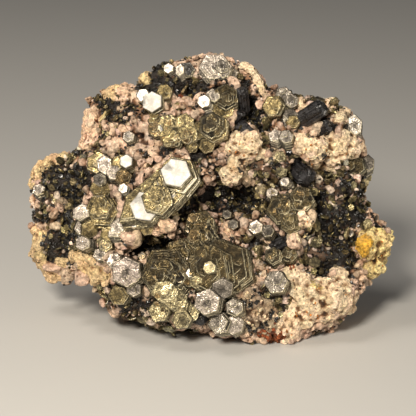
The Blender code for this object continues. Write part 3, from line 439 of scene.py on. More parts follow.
# Rough grains: how many shapes of each sort, how finely they are divided, their flat cuts and how
# far out these lie, how rough they are and how fine the roughness is. Balls make the crust's ridges.
ROUGH_SHAPES = {
    "lumps": (12, 3, 12, (0.5, 0.85), 0.22, 1.5),
    "blocks": (16, 2, 9, (0.45, 0.8), 0.22, 1.3),
    "masses": (10, 3, 5, (0.6, 0.95), 0.3, 1.3),
    "knobs": (10, 2, 3, (0.7, 0.9), 0.4, 1.8),
    "chips": (14, 1, 4, (0.35, 0.75), 0.1, 1.6),
}
BALLS = (6, 2, 3, (0.8, 0.95), 0.12, 1.2)
FLAKE_SHAPES = 10

# How grains are sown: the sort of shape, each radius with the most grains of it, the space they
# keep and how far they are raised, as shares of their size, their tint, how much it varies, and
# for flat ones how much they lean
Sowing = namedtuple("Sowing", "shapes sizes spacing rise tint varied lean", defaults=(None,))

# Grains that fuse into the feldspar: on the front, and larger ones behind
FRONT_LUMPS = Sowing("lumps", ((1.7, 160), (1.25, 420)), 0.46, (-0.35, 0.15), PINK, 0.12)
REAR_LUMPS = Sowing("lumps", ((3.0, 40), (2.0, 120)), 0.7, (-0.7, -0.3), PINK, 0.14)
REAR_BLOCKS = Sowing("blocks", ((1.3, 220), (0.8, 260)), 0.8, (-0.4, 0.1), PINK, 0.16)

# Grains that fuse into the crust, and chips on them: the most masses, large knobs and small knobs
CRUSTS = {
    "cream": (260, 340, 500), "straw": (70, 100, 160), "ochre": (150, 180, 300),
    "yellow": (6, 12, 30), "peach": (70, 90, 160), "dun": (90, 140, 240),
}
MASS_RADIUS = 1.6
KNOB_RADII = (0.85, 0.55)
CHIP_SIZES = ((0.55, 100), (0.38, 260))

# Spots on the finished skins: the skin, how many are tried, their look, the minerals they lie on,
# their size and tint, and the cloud value above which they come
Spots = namedtuple("Spots", "skin tries look minerals size tint cloud", defaults=(-1.0,))
SPOTS = {
    "dun_pores": Spots("crust", 9000, "dark", ("dun",), 0.5, BLACK, 0.1),
    "cream_pores": Spots("crust", 520, "dark", ("cream", "ochre", "straw"), 0.22, BLACK),
    "dun_chips": Spots("crust", 3000, "crust", ("dun",), 0.5, CREAM),
    "orange_spots": Spots("crust", 700, "crust", ("cream", "straw"), 0.28, (0.62, 0.24, 0.05)),
    "rust_spots": Spots("crust", 12000, "crust", ("rust",), 0.5, RUST),
    "feldspar_pores": Spots("feldspar", 5600, "dark", ("pink",), 0.46, BLACK, 0.2),
}

# Loose grains on the rock: their look, the minerals they lie on in front, and how they are sown.
# The dark grains also lie on the dark places behind.
LOOSE = {
    "feldspar_blocks": (
        "feldspar", ("pink",), Sowing("blocks", ((1.3, 380), (0.7, 460)), 0.52, (0.1, 0.9), PINK, 0.18),
    ),
    "feldspar_chips": (
        "feldspar", ("pink",), Sowing("chips", ((0.5, 360), (0.36, 500)), 0.8, (0.7, 1.9), PALE, 0.2),
    ),
    "dark_crystals": (
        "dark", ("dark", "rubble"), Sowing("blocks", ((0.85, 300),), 0.7, (-0.1, 0.4), BLACK, 0.3),
    ),
    "dark_grains": (
        "dark", ("dark", "rubble"),
        Sowing("chips", ((0.6, 1100), (0.36, 3600)), 0.42, (0.0, 0.9), BLACK, 0.3),
    ),
    "dark_specks": (
        "dark", ("pink", "dun"), Sowing("chips", ((0.55, 160), (0.36, 320)), 1.0, (0.6, 1.6), BLACK, 0.3),
    ),
    "dark_gold_flakes": (
        "mica", ("dark", "rubble"),
        Sowing("flakes", ((1.05, 150), (0.65, 420), (0.42, 420)), 0.72, (0.7, 1.3), HONEY, 0.5, 0.8),
    ),
    "rubble_feldspar": (
        "feldspar", ("rubble",), Sowing("blocks", ((1.5, 70), (0.8, 150)), 0.8, (-0.2, 0.4), PALE, 0.24),
    ),
    "rubble_mica": (
        "mica", ("rubble",), Sowing("flakes", ((1.5, 60), (0.9, 130)), 0.9, (0.6, 1.1), BRIGHT, 0.45, 0.6),
    ),
    "gold_flakes": (
        "mica", ("pink",), Sowing("flakes", ((0.8, 60), (0.45, 220)), 1.3, (0.4, 1.1), GOLD, 0.35, 0.7),
    ),
    "silver_flakes": (
        "mica", MINERALS, Sowing("flakes", ((0.7, 50), (0.4, 160)), 1.6, (0.4, 1.1), SILVER, 0.3, 0.7),
    ),
    "rust_specks": ("crust", ("rust",), Sowing("chips", ((0.5, 240),), 0.5, (0.2, 1.2), RUST, 0.3)),
}

# How many places on the rock are tried for grains, and the first number of the random draws
TRIES = 90000
SEED = 7


def direction(right, up):
    """The unit vector that turns this far to the right and up the face, and the rest out of it."""
    out = math.sqrt(max(1.0 - right * right - up * up, 0.0))
    return Vector((right, up * LEAN_SIN - out * LEAN_COS, up * LEAN_COS + out * LEAN_SIN))


def spot(u, v, w):
    """The point of the row frame, in metres, at this place on the face."""
    near = 1.0 - w / EYE_DISTANCE
    height = v * near
    back = height * LEAN_SIN - w * LEAN_COS - SET_BACK
    return Vector((u * near, back, height * LEAN_COS + w * LEAN_SIN + RISE)) * MM


def turned(entry, spin):
    """The matrix that carries a shape on its own Z axis to an entry's place, facing its way."""
    z_axis = direction(entry.right, entry.up)
    x_axis = (Vector((1, 0, 0)) - z_axis * z_axis.x).normalized()
    y_axis = z_axis.cross(x_axis)
    turn = Matrix((x_axis, y_axis, z_axis)).transposed().to_4x4()
    place = Matrix.Translation(spot(entry.u, entry.v, entry.w))
    return place @ turn @ Matrix.Rotation(math.radians(spin), 4, "Z")


def on_face(points):
    """The place on the face, in millimetres, of points in the row frame."""
    x, y, z = (points / MM).T
    back = y + SET_BACK
    rise = z - RISE
    height = back * LEAN_SIN + rise * LEAN_COS
    w = rise * LEAN_SIN - back * LEAN_COS
    near = 1.0 - w / EYE_DISTANCE
    return np.stack((x / near, height / near, w), axis=1)


def add_piece(name, mesh, look, node):
    """An object that rides on the one body, with its look, in place of this node."""
    piece = bpy.data.objects.new(name, mesh)
    bpy.context.scene.collection.objects.link(piece)
    mesh.materials.clear()
    mesh.materials.append(look.material)
    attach(piece, "root")
    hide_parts(node)
    return piece


# Materials

def connect(tree, value, socket):
    """Link an output to a socket, or set the socket to a constant number or colour."""
    if isinstance(value, bpy.types.NodeSocket):
        tree.links.new(value, socket)
    elif socket.type == "RGBA":
        socket.default_value = (*value, 1.0)
    else:
        socket.default_value = value


def add_node(tree, kind, inputs=(), **settings):
    made = tree.nodes.new(kind)
    for key, value in settings.items():
        setattr(made, key, value)
    for key, value in dict(inputs).items():
        connect(tree, value, made.inputs[key])
    return made


def compute(tree, operation, first, second=0.0, clamp=False):
    inputs = {0: first, 1: second}
    return add_node(tree, "ShaderNodeMath", inputs, operation=operation, use_clamp=clamp).outputs[0]


def plus(tree, first, second):
    return compute(tree, "ADD", first, second)


def times(tree, first, second):
    return compute(tree, "MULTIPLY", first, second)


def ramp(tree, value, stops):
    """The value or colour between these stops, each a place and a grey or a colour."""
    made = add_node(tree, "ShaderNodeValToRGB", {"Fac": value})
    elements = made.color_ramp.elements
    while len(elements) < len(stops):
        elements.new(0.5)
    for element, (place, colour) in zip(elements, stops):
        element.position = place
        element.color = (*colour, 1.0) if hasattr(colour, "__len__") else (colour, colour, colour, 1.0)
    return made.outputs["Color"]


def mixed(tree, share, first, second, blend="MIX"):
    inputs = {0: share, 6: first, 7: second}
    return add_node(tree, "ShaderNodeMix", inputs, data_type="RGBA", blend_type=blend).outputs[2]


def shaded(tree, colour, factor):
    """The colour times a factor or another colour."""
    return mixed(tree, 1.0, colour, factor, "MULTIPLY")


def line_noise(tree, along, scale, detail):
    """Lines across one direction, as a value from 0 to 1."""
    inputs = {"W": along, "Scale": scale, "Detail": detail}
    return add_node(tree, "ShaderNodeTexNoise", inputs, noise_dimensions="1D").outputs[0]


def attribute(tree, name, output="Color"):
    return add_node(tree, "ShaderNodeAttribute", attribute_name=name).outputs[output]


def face_map(tree):
    return add_node(tree, "ShaderNodeUVMap", uv_map="face").outputs[0]


def new_group(name, takes, gives):
    """A node group with these numbers in and out: its tree, what it is given and its results."""
    tree = bpy.data.node_groups.new(name, "ShaderNodeTree")
    for title in takes:
        tree.interface.new_socket(title, in_out="INPUT", socket_type="NodeSocketFloat")
    for title in gives:
        tree.interface.new_socket(title, in_out="OUTPUT", socket_type="NodeSocketFloat")
    given = tree.nodes.new("NodeGroupInput").outputs
    return tree, given, tree.nodes.new("NodeGroupOutput").inputs


def object_place(tree):
    return tree.nodes.new("ShaderNodeTexCoord").outputs["Object"]


def group_mottle():
    """Cloudy spots over the surface, at a scale and a contrast, as a value from 0 to 1."""
    tree, given, result = new_group("Mottle", ("Scale", "Contrast"), ("Value",))
    cloud = add_node(tree, "ShaderNodeTexNoise", {
        "Vector": object_place(tree), "Scale": given["Scale"], "Detail": 5.0, "Roughness": 0.62,
    }).outputs[0]
    spread = times(tree, compute(tree, "SUBTRACT", cloud, 0.5), given["Contrast"])
    connect(tree, compute(tree, "ADD", spread, 0.5, clamp=True), result["Value"])
    return tree


def group_pits():
    """Small scattered pits of a porous surface: 1 in a pit and 0 outside."""
    tree, given, result = new_group("Pits", ("Scale", "Share"), ("Pit",))
    inputs = {"Vector": object_place(tree), "Scale": given["Scale"]}
    cells = add_node(tree, "ShaderNodeTexVoronoi", inputs).outputs
    near = ramp(tree, cells["Distance"], ((0.22, 1.0), (0.42, 0.0)))
    own = add_node(tree, "ShaderNodeSeparateXYZ", {0: cells["Color"]}).outputs[0]
    picked = compute(tree, "LESS_THAN", own, given["Share"])
    connect(tree, times(tree, near, picked), result["Pit"])
    return tree


def group_grit():
    """Tiny packed grains: how high a place is on its own grain, from 0 in a gap to 1 on top."""
    tree, given, result = new_group("Grit", ("Scale",), ("Height",))
    place = object_place(tree)
    bend = add_node(tree, "ShaderNodeTexNoise", {"Vector": place, "Scale": 1800.0, "Detail": 2.0})
    bend = add_node(tree, "ShaderNodeVectorMath", {0: bend.outputs["Color"], 3: 0.0005}, operation="SCALE")
    bent = add_node(tree, "ShaderNodeVectorMath", {0: place, 1: bend.outputs[0]}, operation="ADD")
    cells = add_node(tree, "ShaderNodeTexVoronoi", {"Vector": bent.outputs[0], "Scale": given["Scale"]})
    height = compute(tree, "SUBTRACT", 1.0, cells.outputs["Distance"], clamp=True)
    connect(tree, height, result["Height"])
    return tree


def group_hexagon_rings():
    """How far out a place is on a mica face, in hexagons round its middle, and its angle."""
    tree, _, result = new_group("Hexagon rings", (), ("Out", "Angle"))
    along, up, _ = add_node(tree, "ShaderNodeSeparateXYZ", {0: face_map(tree)}).outputs
    flat = compute(tree, "ABSOLUTE", up)
    lean = times(tree, compute(tree, "ABSOLUTE", along), 0.866)
    lean = plus(tree, lean, times(tree, flat, 0.5))
    connect(tree, compute(tree, "MAXIMUM", flat, lean), result["Out"])
    connect(tree, compute(tree, "ARCTAN2", up, along), result["Angle"])
    return tree


def place_group(tree, group, **values):
    """A group put in a material, with these numbers given to it: its outputs."""
    made = add_node(tree, "ShaderNodeGroup", node_tree=group)
    for key, value in values.items():
        made.inputs[key].default_value = value
    return made.outputs


def new_material(name, **fixed):
    made = bpy.data.materials.new(name)
    made.use_nodes = True
    shader = made.node_tree.nodes["Principled BSDF"]
    for key, value in fixed.items():
        connect(made.node_tree, value, shader.inputs[key.replace("_", " ")])
    return made, made.node_tree, shader


def surface(tree, shader, colour, roughness, height, strength, depth):
    """Give a material its colour, its roughness, and a relief of this strength and depth."""
    relief = {"Strength": strength, "Distance": depth, "Height": height}
    raised = add_node(tree, "ShaderNodeBump", relief).outputs["Normal"]
    for name, value in (("Base Color", colour), ("Roughness", roughness), ("Normal", raised)):
        connect(tree, value, shader.inputs[name])


def grain_material(name, groups, roughness, relief, grit_scale, pit_scale, pit_share, stain_colour, specks):
    """A mineral grain: its own tint, cloudy spots, stained pits, painted shade low down and in hollows with
    lighter ridges, and a gritty surface with painted shade in its gaps.
    """
    made, tree, shader = new_material(name)
    tint = attribute(tree, "tint")
    cloud = place_group(tree, groups["mottle"], Scale=1100.0, Contrast=2.2)[0]
    broad = place_group(tree, groups["mottle"], Scale=260.0, Contrast=2.4)[0]
    fine = place_group(tree, groups["mottle"], Scale=3800.0, Contrast=2.4)[0]
    grit = place_group(tree, groups["grit"], Scale=grit_scale)[0]
    pit = place_group(tree, groups["pits"], Scale=pit_scale, Share=pit_share)[0]
    colour = shaded(tree, tint, ramp(tree, cloud, ((0.0, 0.55), (0.5, 0.98), (1.0, 1.32))))
    colour = shaded(tree, colour, ramp(tree, fine, ((0.1, 1.0 - specks), (0.5, 1.0), (0.95, 1.0 + specks))))
    # Painted shade in the gaps between the tiny grains of the grit.
    colour = shaded(tree, colour, ramp(tree, grit, ((0.25, 0.60), (0.55, 1.0), (0.9, 1.08))))
    stain = times(tree, ramp(tree, broad, ((0.55, 0.0), (0.9, 1.0))), 0.55)
    stain = times(tree, stain, ramp(tree, tint, ((0.04, 0.0), (0.3, 1.0))))
    colour = mixed(tree, stain, colour, stain_colour)
    colour = mixed(tree, times(tree, pit, 0.9), colour, Vector(stain_colour) * 0.3)
    # Painted shade: near black where the value is low, a little lighter than the tint where it is high.
    colour = shaded(tree, colour, ramp(tree, attribute(tree, "seat", "Fac"), (
        (0.0, (0.03, 0.015, 0.008)), (0.30, (0.30, 0.19, 0.12)),
        (0.60, (1.0, 0.96, 0.93)), (1.0, (1.2, 1.2, 1.22)),
    )))
    rough = ramp(tree, cloud, ((0.2, roughness - 0.15), (0.8, roughness + 0.15)))
    height = plus(tree, times(tree, cloud, 0.5), times(tree, fine, 0.3))
    height = compute(tree, "SUBTRACT", plus(tree, height, grit), times(tree, pit, 0.6))
    surface(tree, shader, colour, rough, height, 1.0, relief)
    return made


def mica_colour(tree, tint, blotch, fine, lines, streaks, out):
    """The tint of gold or silver mica, varied by its growth lines, its streaks and its tarnish, with pale
    sheet rims that are mostly painted light.
    """
    red, _, blue = add_node(tree, "ShaderNodeSeparateXYZ", {0: tint}).outputs
    silver = ramp(tree, compute(tree, "DIVIDE", blue, red), ((0.58, 0.0), (0.70, 1.0)))
    calm = times(tree, silver, 0.4)
    colour = tint
    for value, stops in (
        (lines, ((0.36, 0.70), (0.44, 1.0), (0.62, 1.12))),
        (blotch, ((0.08, 0.30), (0.5, 0.95), (0.92, 2.0))),
        (fine, ((0.12, 0.40), (0.5, 1.0), (0.9, 1.9))),
    ):
        colour = shaded(tree, colour, mixed(tree, calm, ramp(tree, value, stops), (1.0, 1.0, 1.0)))
    colour = shaded(tree, colour, ramp(tree, streaks, ((0.34, 0.56), (0.5, 1.0), (0.66, 1.35))))
    spread = plus(tree, out, times(tree, streaks, 1.6))
    spread = plus(tree, times(tree, spread, 0.4), times(tree, blotch, 0.3))
    heart = ramp(tree, spread, ((0.42, 0.38), (0.85, 1.0), (1.0, 1.3)))
    colour = mixed(tree, silver, colour, shaded(tree, colour, heart))
    pale = times(tree, ramp(tree, blotch, ((0.6, 0.0), (1.0, 1.0))), 0.5)
    colour = mixed(tree, pale, colour, shaded(tree, tint, (2.4, 2.5, 2.7)))
    # Pale rims, mostly painted light: brightest on the lower right side of each sheet.
    pale_rim_and_painted_light = times(tree, attribute(tree, "edge", "Fac"), ramp(tree, fine, ((0.2, 0.45), (0.5, 1.0))))
    return mixed(tree, times(tree, pale_rim_and_painted_light, 0.95), colour, PALE_RIM_AND_PAINTED_LIGHT)


def mica_material(groups):
    """Mica: a metallic sheen, growth lines round the face, and on the faces turned to the main light a
    painted reflection of it, pale and less metallic, dimmer towards one corner.
    """
    made, tree, shader = new_material("mica", Coat_Roughness=0.14)
    tint = attribute(tree, "tint")
    blotch = place_group(tree, groups["mottle"], Scale=620.0, Contrast=3.0)[0]
    fine = place_group(tree, groups["mottle"], Scale=2400.0, Contrast=2.6)[0]
    out, angle = place_group(tree, groups["rings"])
    own = times(tree, attribute(tree, "tint", "Alpha"), 40.0)
    lines = line_noise(tree, plus(tree, out, plus(tree, times(tree, blotch, 0.3), own)), 2.6, 2.0)
    streaks = line_noise(tree, plus(tree, angle, own), 5.0, 2.0)
    colour = mica_colour(tree, tint, blotch, fine, lines, streaks, out)
    # The faces tinted as a painted reflection of the main light, and how much
    painted_reflection_faces = ramp(tree, tint, ((0.66, 0.0), (0.74, 1.0)))
    # The painted reflection dims towards one corner of the face.
    corner = {0: face_map(tree), 1: (-2.0, 1.4, 0.0)}
    apart = add_node(tree, "ShaderNodeVectorMath", corner, operation="DISTANCE").outputs["Value"]
    apart = times(tree, plus(tree, apart, times(tree, blotch, 0.8)), 0.4)
    painted_reflection = shaded(tree, tint, ramp(tree, apart, ((0.35, 0.20), (0.8, 0.62))))
    colour = mixed(tree, times(tree, painted_reflection_faces, 0.85), colour, painted_reflection)
    # Painted shadow: dark at the foot of each sheet.
    seat = ramp(tree, attribute(tree, "seat", "Fac"), ((0.0, 0.05), (0.6, 0.6), (1.0, 1.0)))
    connect(tree, ramp(tree, painted_reflection_faces, ((0.0, 0.72), (1.0, 0.0))), shader.inputs["Metallic"])
    connect(tree, ramp(tree, painted_reflection_faces, ((0.0, 0.2), (1.0, 0.02))), shader.inputs["Coat Weight"])
    dull = ramp(tree, painted_reflection_faces, ((0.0, 0.0), (1.0, 0.25)))
    rough = plus(tree, ramp(tree, blotch, ((0.2, 0.46), (0.8, 0.22))), dull)
    height = plus(tree, plus(tree, times(tree, lines, 1.6), fine), blotch)
    strength = mixed(tree, painted_reflection_faces, (0.9, 0.9, 0.9), (0.15, 0.15, 0.15))
    surface(tree, shader, shaded(tree, colour, seat), rough, height, strength, 0.00008)
    return made


def dark_material(name, groups, roughness, lined):
    """A black glassy crystal face, scuffed dull in places, with lines along a prism."""
    made, tree, shader = new_material(name, Coat_Weight=0.3, Coat_Roughness=0.1, Specular_IOR_Level=0.5)
    cloud = place_group(tree, groups["mottle"], Scale=700.0, Contrast=2.4)[0]
    colour = shaded(tree, attribute(tree, "tint"), ramp(tree, cloud, ((0.3, 0.5), (0.9, 2.0))))
    height = cloud
    if lined:
        across = add_node(tree, "ShaderNodeSeparateXYZ", {0: face_map(tree)}).outputs[0]
        lines = line_noise(tree, across, 1.7, 3.0)
        height = plus(tree, times(tree, cloud, 0.12), times(tree, lines, 1.2))
        colour = shaded(tree, colour, ramp(tree, lines, ((0.4, 0.3), (0.6, 3.0))))
    rough = ramp(tree, cloud, ((0.3, roughness), (0.9, roughness + 0.3)))
    surface(tree, shader, colour, rough, height, 0.9, 0.0003)
    return made


def all_looks():
    """Each material with its slot: feldspar, crust, mica, prisms and dark grains."""
    groups = {
        "mottle": group_mottle(), "pits": group_pits(), "rings": group_hexagon_rings(), "grit": group_grit(),
    }
    feldspar = grain_material(
        "feldspar", groups, roughness=0.46, relief=0.0004, grit_scale=1000.0,
        pit_scale=900.0, pit_share=0.22, stain_colour=(0.30, 0.14, 0.07), specks=0.22,
    )
    crust = grain_material(
        "crust", groups, roughness=0.66, relief=0.0006, grit_scale=1350.0,
        pit_scale=1100.0, pit_share=0.12, stain_colour=(0.46, 0.27, 0.12), specks=0.14,
    )
    return {
        "feldspar": Look(feldspar, "matrix"),
        "crust": Look(crust, "matrix"),
        "mica": Look(mica_material(groups), "mica"),
        "prism": Look(dark_material("dark_prism", groups, 0.2, True), "dark_prism"),
        "dark": Look(dark_material("dark_grain", groups, 0.14, False), "dark_prism"),
    }


# Shapes

def polygon_reach(angle, sides):
    """How far a polygon with a corner on its X axis reaches at this angle, for a radius of 1."""
    half = math.pi / sides
    return math.cos(half) / math.cos(angle % (2 * half) - half)


def face_out(face):
    """Turn a flat face to look up."""
    face.normal_update()
    if face.normal.z < 0:
        face.normal_flip()


def draw_out(shape, face, height):
    """Draw a face out to this height: its new corners and the new face."""
    made = bmesh.ops.extrude_face_region(shape, geom=[face])["geom"]
    upper = [item for item in made if isinstance(item, bmesh.types.BMVert)]
    caps = [item for item in made if isinstance(item, bmesh.types.BMFace)]
    bmesh.ops.translate(shape, vec=(0, 0, height), verts=upper)
    return upper, caps


def new_shape(*layers):
    """An empty bmesh with a tint and a face map, and these values for each point."""
    shape = bmesh.new()
    shape.verts.layers.float_color.new("tint")
    for layer in layers:
        shape.verts.layers.float.new(layer)
    shape.loops.layers.uv.new("face")
    return shape


def join_shape(whole, part):
    """Add one bmesh to another, and free it."""
    mesh = bpy.data.meshes.new("part")
    part.to_mesh(mesh)
    part.free()
    whole.from_mesh(mesh)
    bpy.data.meshes.remove(mesh)


def shape_mesh(shape, name):
    """A mesh of a bmesh, which is freed."""
    mesh = bpy.data.meshes.new(name)
    shape.to_mesh(mesh)
    shape.free()
    return mesh


def random_lean(rng, *limits):
    """A turn about X, Y and Z by random angles, each up to its limit in degrees."""
    lean = Matrix.Identity(4)
    for axis, limit in zip("XYZ", limits):
        lean = lean @ Matrix.Rotation(math.radians(rng.uniform(-limit, limit)), 4, axis)
    return lean


def around(angle):
    return Vector((math.cos(angle), math.sin(angle)))


# Mica books

def sheet(shape, rng, outline, radius, top, thickness, middle, lean, tint, lit):
    """One sheet of a book: a hexagon with a sloping rim, its foot spread a little and darkened as painted
    shadow, its rim lighter on the lit side as painted light.
    """
    foot = bmesh.ops.create_circle(shape, cap_ends=True, segments=len(outline), radius=1.0)["verts"]
    for index, (vert, own) in enumerate(zip(foot, outline)):
        angle = 2 * math.pi * index / len(outline)
        reach = radius * polygon_reach(angle, 6) * own * rng.uniform(0.99, 1.008)
        vert.co = Vector((math.cos(angle) * reach, math.sin(angle) * reach, 0.0))
    face = foot[0].link_faces[0]
    face_out(face)
    rim, cap = draw_out(shape, face, thickness)
    slope = min(0.1, 0.3 * thickness)
    bmesh.ops.inset_individual(shape, faces=cap, thickness=slope)
    border = list(cap[0].verts)
    bmesh.ops.inset_individual(shape, faces=cap, thickness=0.06 + 0.022 * radius)
    bmesh.ops.translate(shape, vec=(0, 0, -slope), verts=rim)
    for vert in foot:
        vert.co *= 1.0 + SKIRT / radius
    whole = [*foot, *rim, *border, *cap[0].verts]
    tints = shape.verts.layers.float_color["tint"]
    seats = shape.verts.layers.float["seat"]
    edges = shape.verts.layers.float["edge"]
    own = rng.random()
    for vert in whole:
        vert[tints] = (*tint, own)
        vert[seats] = 1.0
    # The spread foot is painted shadow under the sheet's rim.
    for vert in foot:
        vert[seats] = 0.0
    # The rim and border get painted light, most on the side towards lit, the lower right of the face.
    for vert in (*rim, *border):
        vert[edges] = max(0.35 + 0.65 * vert.co.xy.normalized().dot(lit), 0.12)
    turn = Matrix.Translation((middle[0], middle[1], top - thickness)) @ lean
    bmesh.ops.transform(shape, matrix=turn, verts=whole)


def scales(shape, rng, entry, tint, lit, ragged):
    """Small sheets grown half into the face of a large book, more and steeper on a flaky one."""
    steep = 7 + 90 * ragged
    for _ in range(int(entry.radius * (2.6 + 26 * ragged))):
        radius = rng.uniform(0.16, 0.42 + 0.5 * ragged) * entry.radius
        angle = rng.uniform(0, 2 * math.pi)
        out = rng.uniform(0.05, 0.95) * (entry.radius - radius * 0.8)
        lean = random_lean(rng, steep, steep)
        top = -entry.steps * STEP_RISE * out / entry.radius + rng.uniform(-0.04, 0.12 + ragged)
        outline = rng.uniform(1.0 - 1.6 * ragged, 1.0, size=12)
        own = tint * rng.uniform(0.4, 1.6 + 3 * ragged)
        if rng.random() < 2.2 * ragged:
            own = Vector(BRONZE) * rng.uniform(0.6, 1.6)
        sheet(shape, rng, outline, radius, top, 0.3, around(angle) * out, lean, own, lit)


def growth_steps(shape, rng, entry, outline, slide, tint, lit):
    """The smaller sheets on a book's face, up to its top: how deep they reach."""
    top = 0.0
    for step in range(entry.steps):
        share = 0.30 + 0.66 * (step + rng.uniform(0.3, 0.9)) / entry.steps
        middle = slide * (entry.steps - step) * -0.9
        side = around(rng.uniform(0, 2 * math.pi))
        middle += side * entry.radius * (1 - share) * rng.uniform(0.5, 0.95)
        shade = rng.uniform(0.55, 1.35)
        lean = random_lean(rng, *STEP_LEAN)
        rise = rng.uniform(0.7, 1.4) * STEP_RISE
        sheet(shape, rng, outline, entry.radius * share, top, rise * 1.5, middle, lean, tint * shade, lit)
        top -= rise
    return top


def book(shape, rng, entry, ragged=0.0):
    """A book of thin sheets, with growth steps on its face, put where it grows."""
    made = new_shape("seat", "edge")
    outline = []
    wander = 1.0
    for _ in range(36 if entry.radius > 3 else 18):
        wander = 0.5 * wander + 0.5 * rng.uniform(0.97 - ragged, 1.02 + 0.6 * ragged)
        outline.append(wander)
    back = Matrix.Rotation(math.radians(-entry.spin), 2)
    slide = back @ Vector(entry.slide)
    # The side whose rims get painted light: the lower right of the face, in the book's own turn.
    lit = back @ Vector((0.6, -0.8))
    tint = Vector(entry.tint)
    top = growth_steps(made, rng, entry, outline, slide, tint, lit)
    if (entry.radius > 3 or ragged) and entry.tint != PAINTED_REFLECTION_WHITE:
        scales(made, rng, entry, tint, lit, ragged)
    shown = min(0.5 * entry.depth + 1.0, entry.depth)
    count = 0
    middle = Vector((0.0, 0.0))
    while -top < shown:
        thickness = rng.uniform(*SHEET_DEPTHS)
        lean = random_lean(rng, *SHEET_LEAN)
        shade = rng.uniform(0.5, 1.5) if count else 1.0
        # Only the top sheet carries the painted reflection: the sheets under it are gold.
        if count and entry.tint == PAINTED_REFLECTION_WHITE:
            tint = Vector(GOLD)
        size = entry.radius * (rng.uniform(0.96, 1.02) + 0.006 * count)
        sheet(made, rng, outline, size, top, thickness * 0.78, middle, lean, tint * shade, lit)
        top -= thickness
        count += 1
        middle = slide * count * rng.uniform(0.7, 1.3)
    # The rest of the book's depth as one block at a fifth of its tint: painted shade on its deep sides.
    sheet(made, rng, outline, entry.radius * 0.94, -0.4, entry.depth - 0.4, slide, Matrix(), tint * 0.2, lit)
    bmesh.ops.scale(made, vec=(entry.stretch, 1.0, 1.0), verts=made.verts)
    uv = made.loops.layers.uv["face"]
    for face in made.faces:
        for loop in face.loops:
            loop[uv].uv = loop.vert.co.xy
    place = turned(entry, entry.spin)
    bmesh.ops.transform(made, matrix=place @ Matrix.Scale(MM, 4), verts=made.verts)
    join_shape(shape, made)


def mica_group(name, entries, look, rng, node=None):
    """The books of one group as one piece, in place of the group's solid or of the node named."""
    shape = new_shape("seat", "edge")
    for entry in entries:
        book(shape, rng, entry, RAGGED.get(name, 0.0))
    bmesh.ops.triangulate(shape, faces=shape.faces)
    add_piece(name + "_sheets", shape_mesh(shape, name + "_sheets"), look, node or name)


# Dark prisms

def prism(rng, width, length):
    """One eight-sided prism with grooves along it and sloping ends."""
    made = new_shape()
    bmesh.ops.create_circle(made, cap_ends=True, segments=44, radius=1.0)
    for vert in made.verts:
        angle = math.atan2(vert.co.y, vert.co.x)
        reach = 0.5 * width * polygon_reach(angle, 8) * rng.uniform(0.89, 1.02)
        vert.co = Vector((math.cos(angle) * reach, math.sin(angle) * reach * 0.84, 0.0))
    face = made.faces[:][0]
    face_out(face)
    bmesh.ops.translate(made, vec=(0, 0, -length / 2), verts=made.verts)
    draw_out(made, face, length)
    for end in [face for face in made.faces if len(face.verts) > 4]:
        bmesh.ops.inset_individual(made, faces=[end], thickness=0.16 * width)
        tip = math.copysign(0.14 * width, end.normal.z)
        bmesh.ops.translate(made, vec=(0, 0, tip), verts=end.verts)
    bmesh.ops.scale(made, vec=(1, 1, 0.92), verts=made.verts)
    return made


def prism_piece(name, entry, look, rng):
    """A stubby prism with thinner ones grown on its sides."""
    shape = new_shape()
    bundle = [(0.0, 0.0, 1.0, 1.0)]
    for _ in range(5):
        angle = rng.uniform(0, 2 * math.pi)
        size = rng.uniform(0.35, 0.6)
        bundle.append((math.cos(angle) * 0.30, math.sin(angle) * 0.26, size, rng.uniform(0.6, 0.98)))
    for x, y, size, length in bundle:
        made = prism(rng, entry.width * size, entry.length * length)
        uv = made.loops.layers.uv["face"]
        for face in made.faces:
            for loop in face.loops:
                angle = math.atan2(loop.vert.co.y, loop.vert.co.x)
                loop[uv].uv = (abs(angle) * entry.width * 0.5 + x * 9.0, loop.vert.co.z)
        bmesh.ops.translate(made, vec=(x * entry.width, y * entry.width, 0), verts=made.verts)
        join_shape(shape, made)
    bmesh.ops.transform(shape, matrix=turned(entry, 20) @ Matrix.Scale(MM, 4), verts=shape.verts)
    bmesh.ops.triangulate(shape, faces=shape.faces)
    layer = shape.verts.layers.float_color["tint"]
    for vert in shape.verts:
        vert[layer] = (0.012, 0.0115, 0.0125, 1.0)
    add_piece(name + "_faces", shape_mesh(shape, name + "_faces"), look, name)


# The rock under the grains

def rock_mesh():
    """The matrix solid, its faces divided, rounded and roughened, a little inside its old surface."""
    shape = bmesh.new()
    shape.from_mesh(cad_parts["matrix"].data)
    bmesh.ops.remove_doubles(shape, verts=shape.verts, dist=0.01 * MM)
    for limit in (3.0, 1.7, ROCK_EDGE * 1.35):
        long = [edge for edge in shape.edges if edge.calc_length() > limit * MM]
        bmesh.ops.subdivide_edges(shape, edges=long, cuts=1)
        bmesh.ops.triangulate(shape, faces=shape.faces)
    free = [vert for vert in shape.verts if vert.co.z > 0.05 * MM]
    axes = {"use_axis_x": True, "use_axis_y": True, "use_axis_z": True}
    for _ in range(3):
        bmesh.ops.smooth_vert(shape, verts=free, factor=0.5, **axes)
    shape.normal_update()
    noise.seed_set(SEED)
    for vert in free:
        rough = noise.fractal(vert.co / MM / 2.2, 1.0, 2.0, 4)
        inset = ROCK_INSET if vert.co.z > 1.5 * MM else 0.0
        vert.co += vert.normal * (rough * 0.5 - inset) * MM
    for vert in free:
        vert.co.z = max(vert.co.z, FLOOR_GAP * MM)
    return shape_mesh(shape, "rock")


# Grain shapes

def as_shape(shape):
    """The points and triangles of a bmesh, which is freed."""
    bmesh.ops.triangulate(shape, faces=shape.faces)
    shape.verts.index_update()
    points = np.array([vert.co for vert in shape.verts])
    triangles = np.array([[vert.index for vert in face.verts] for face in shape.faces])
    shape.free()
    return Shape(points, triangles)


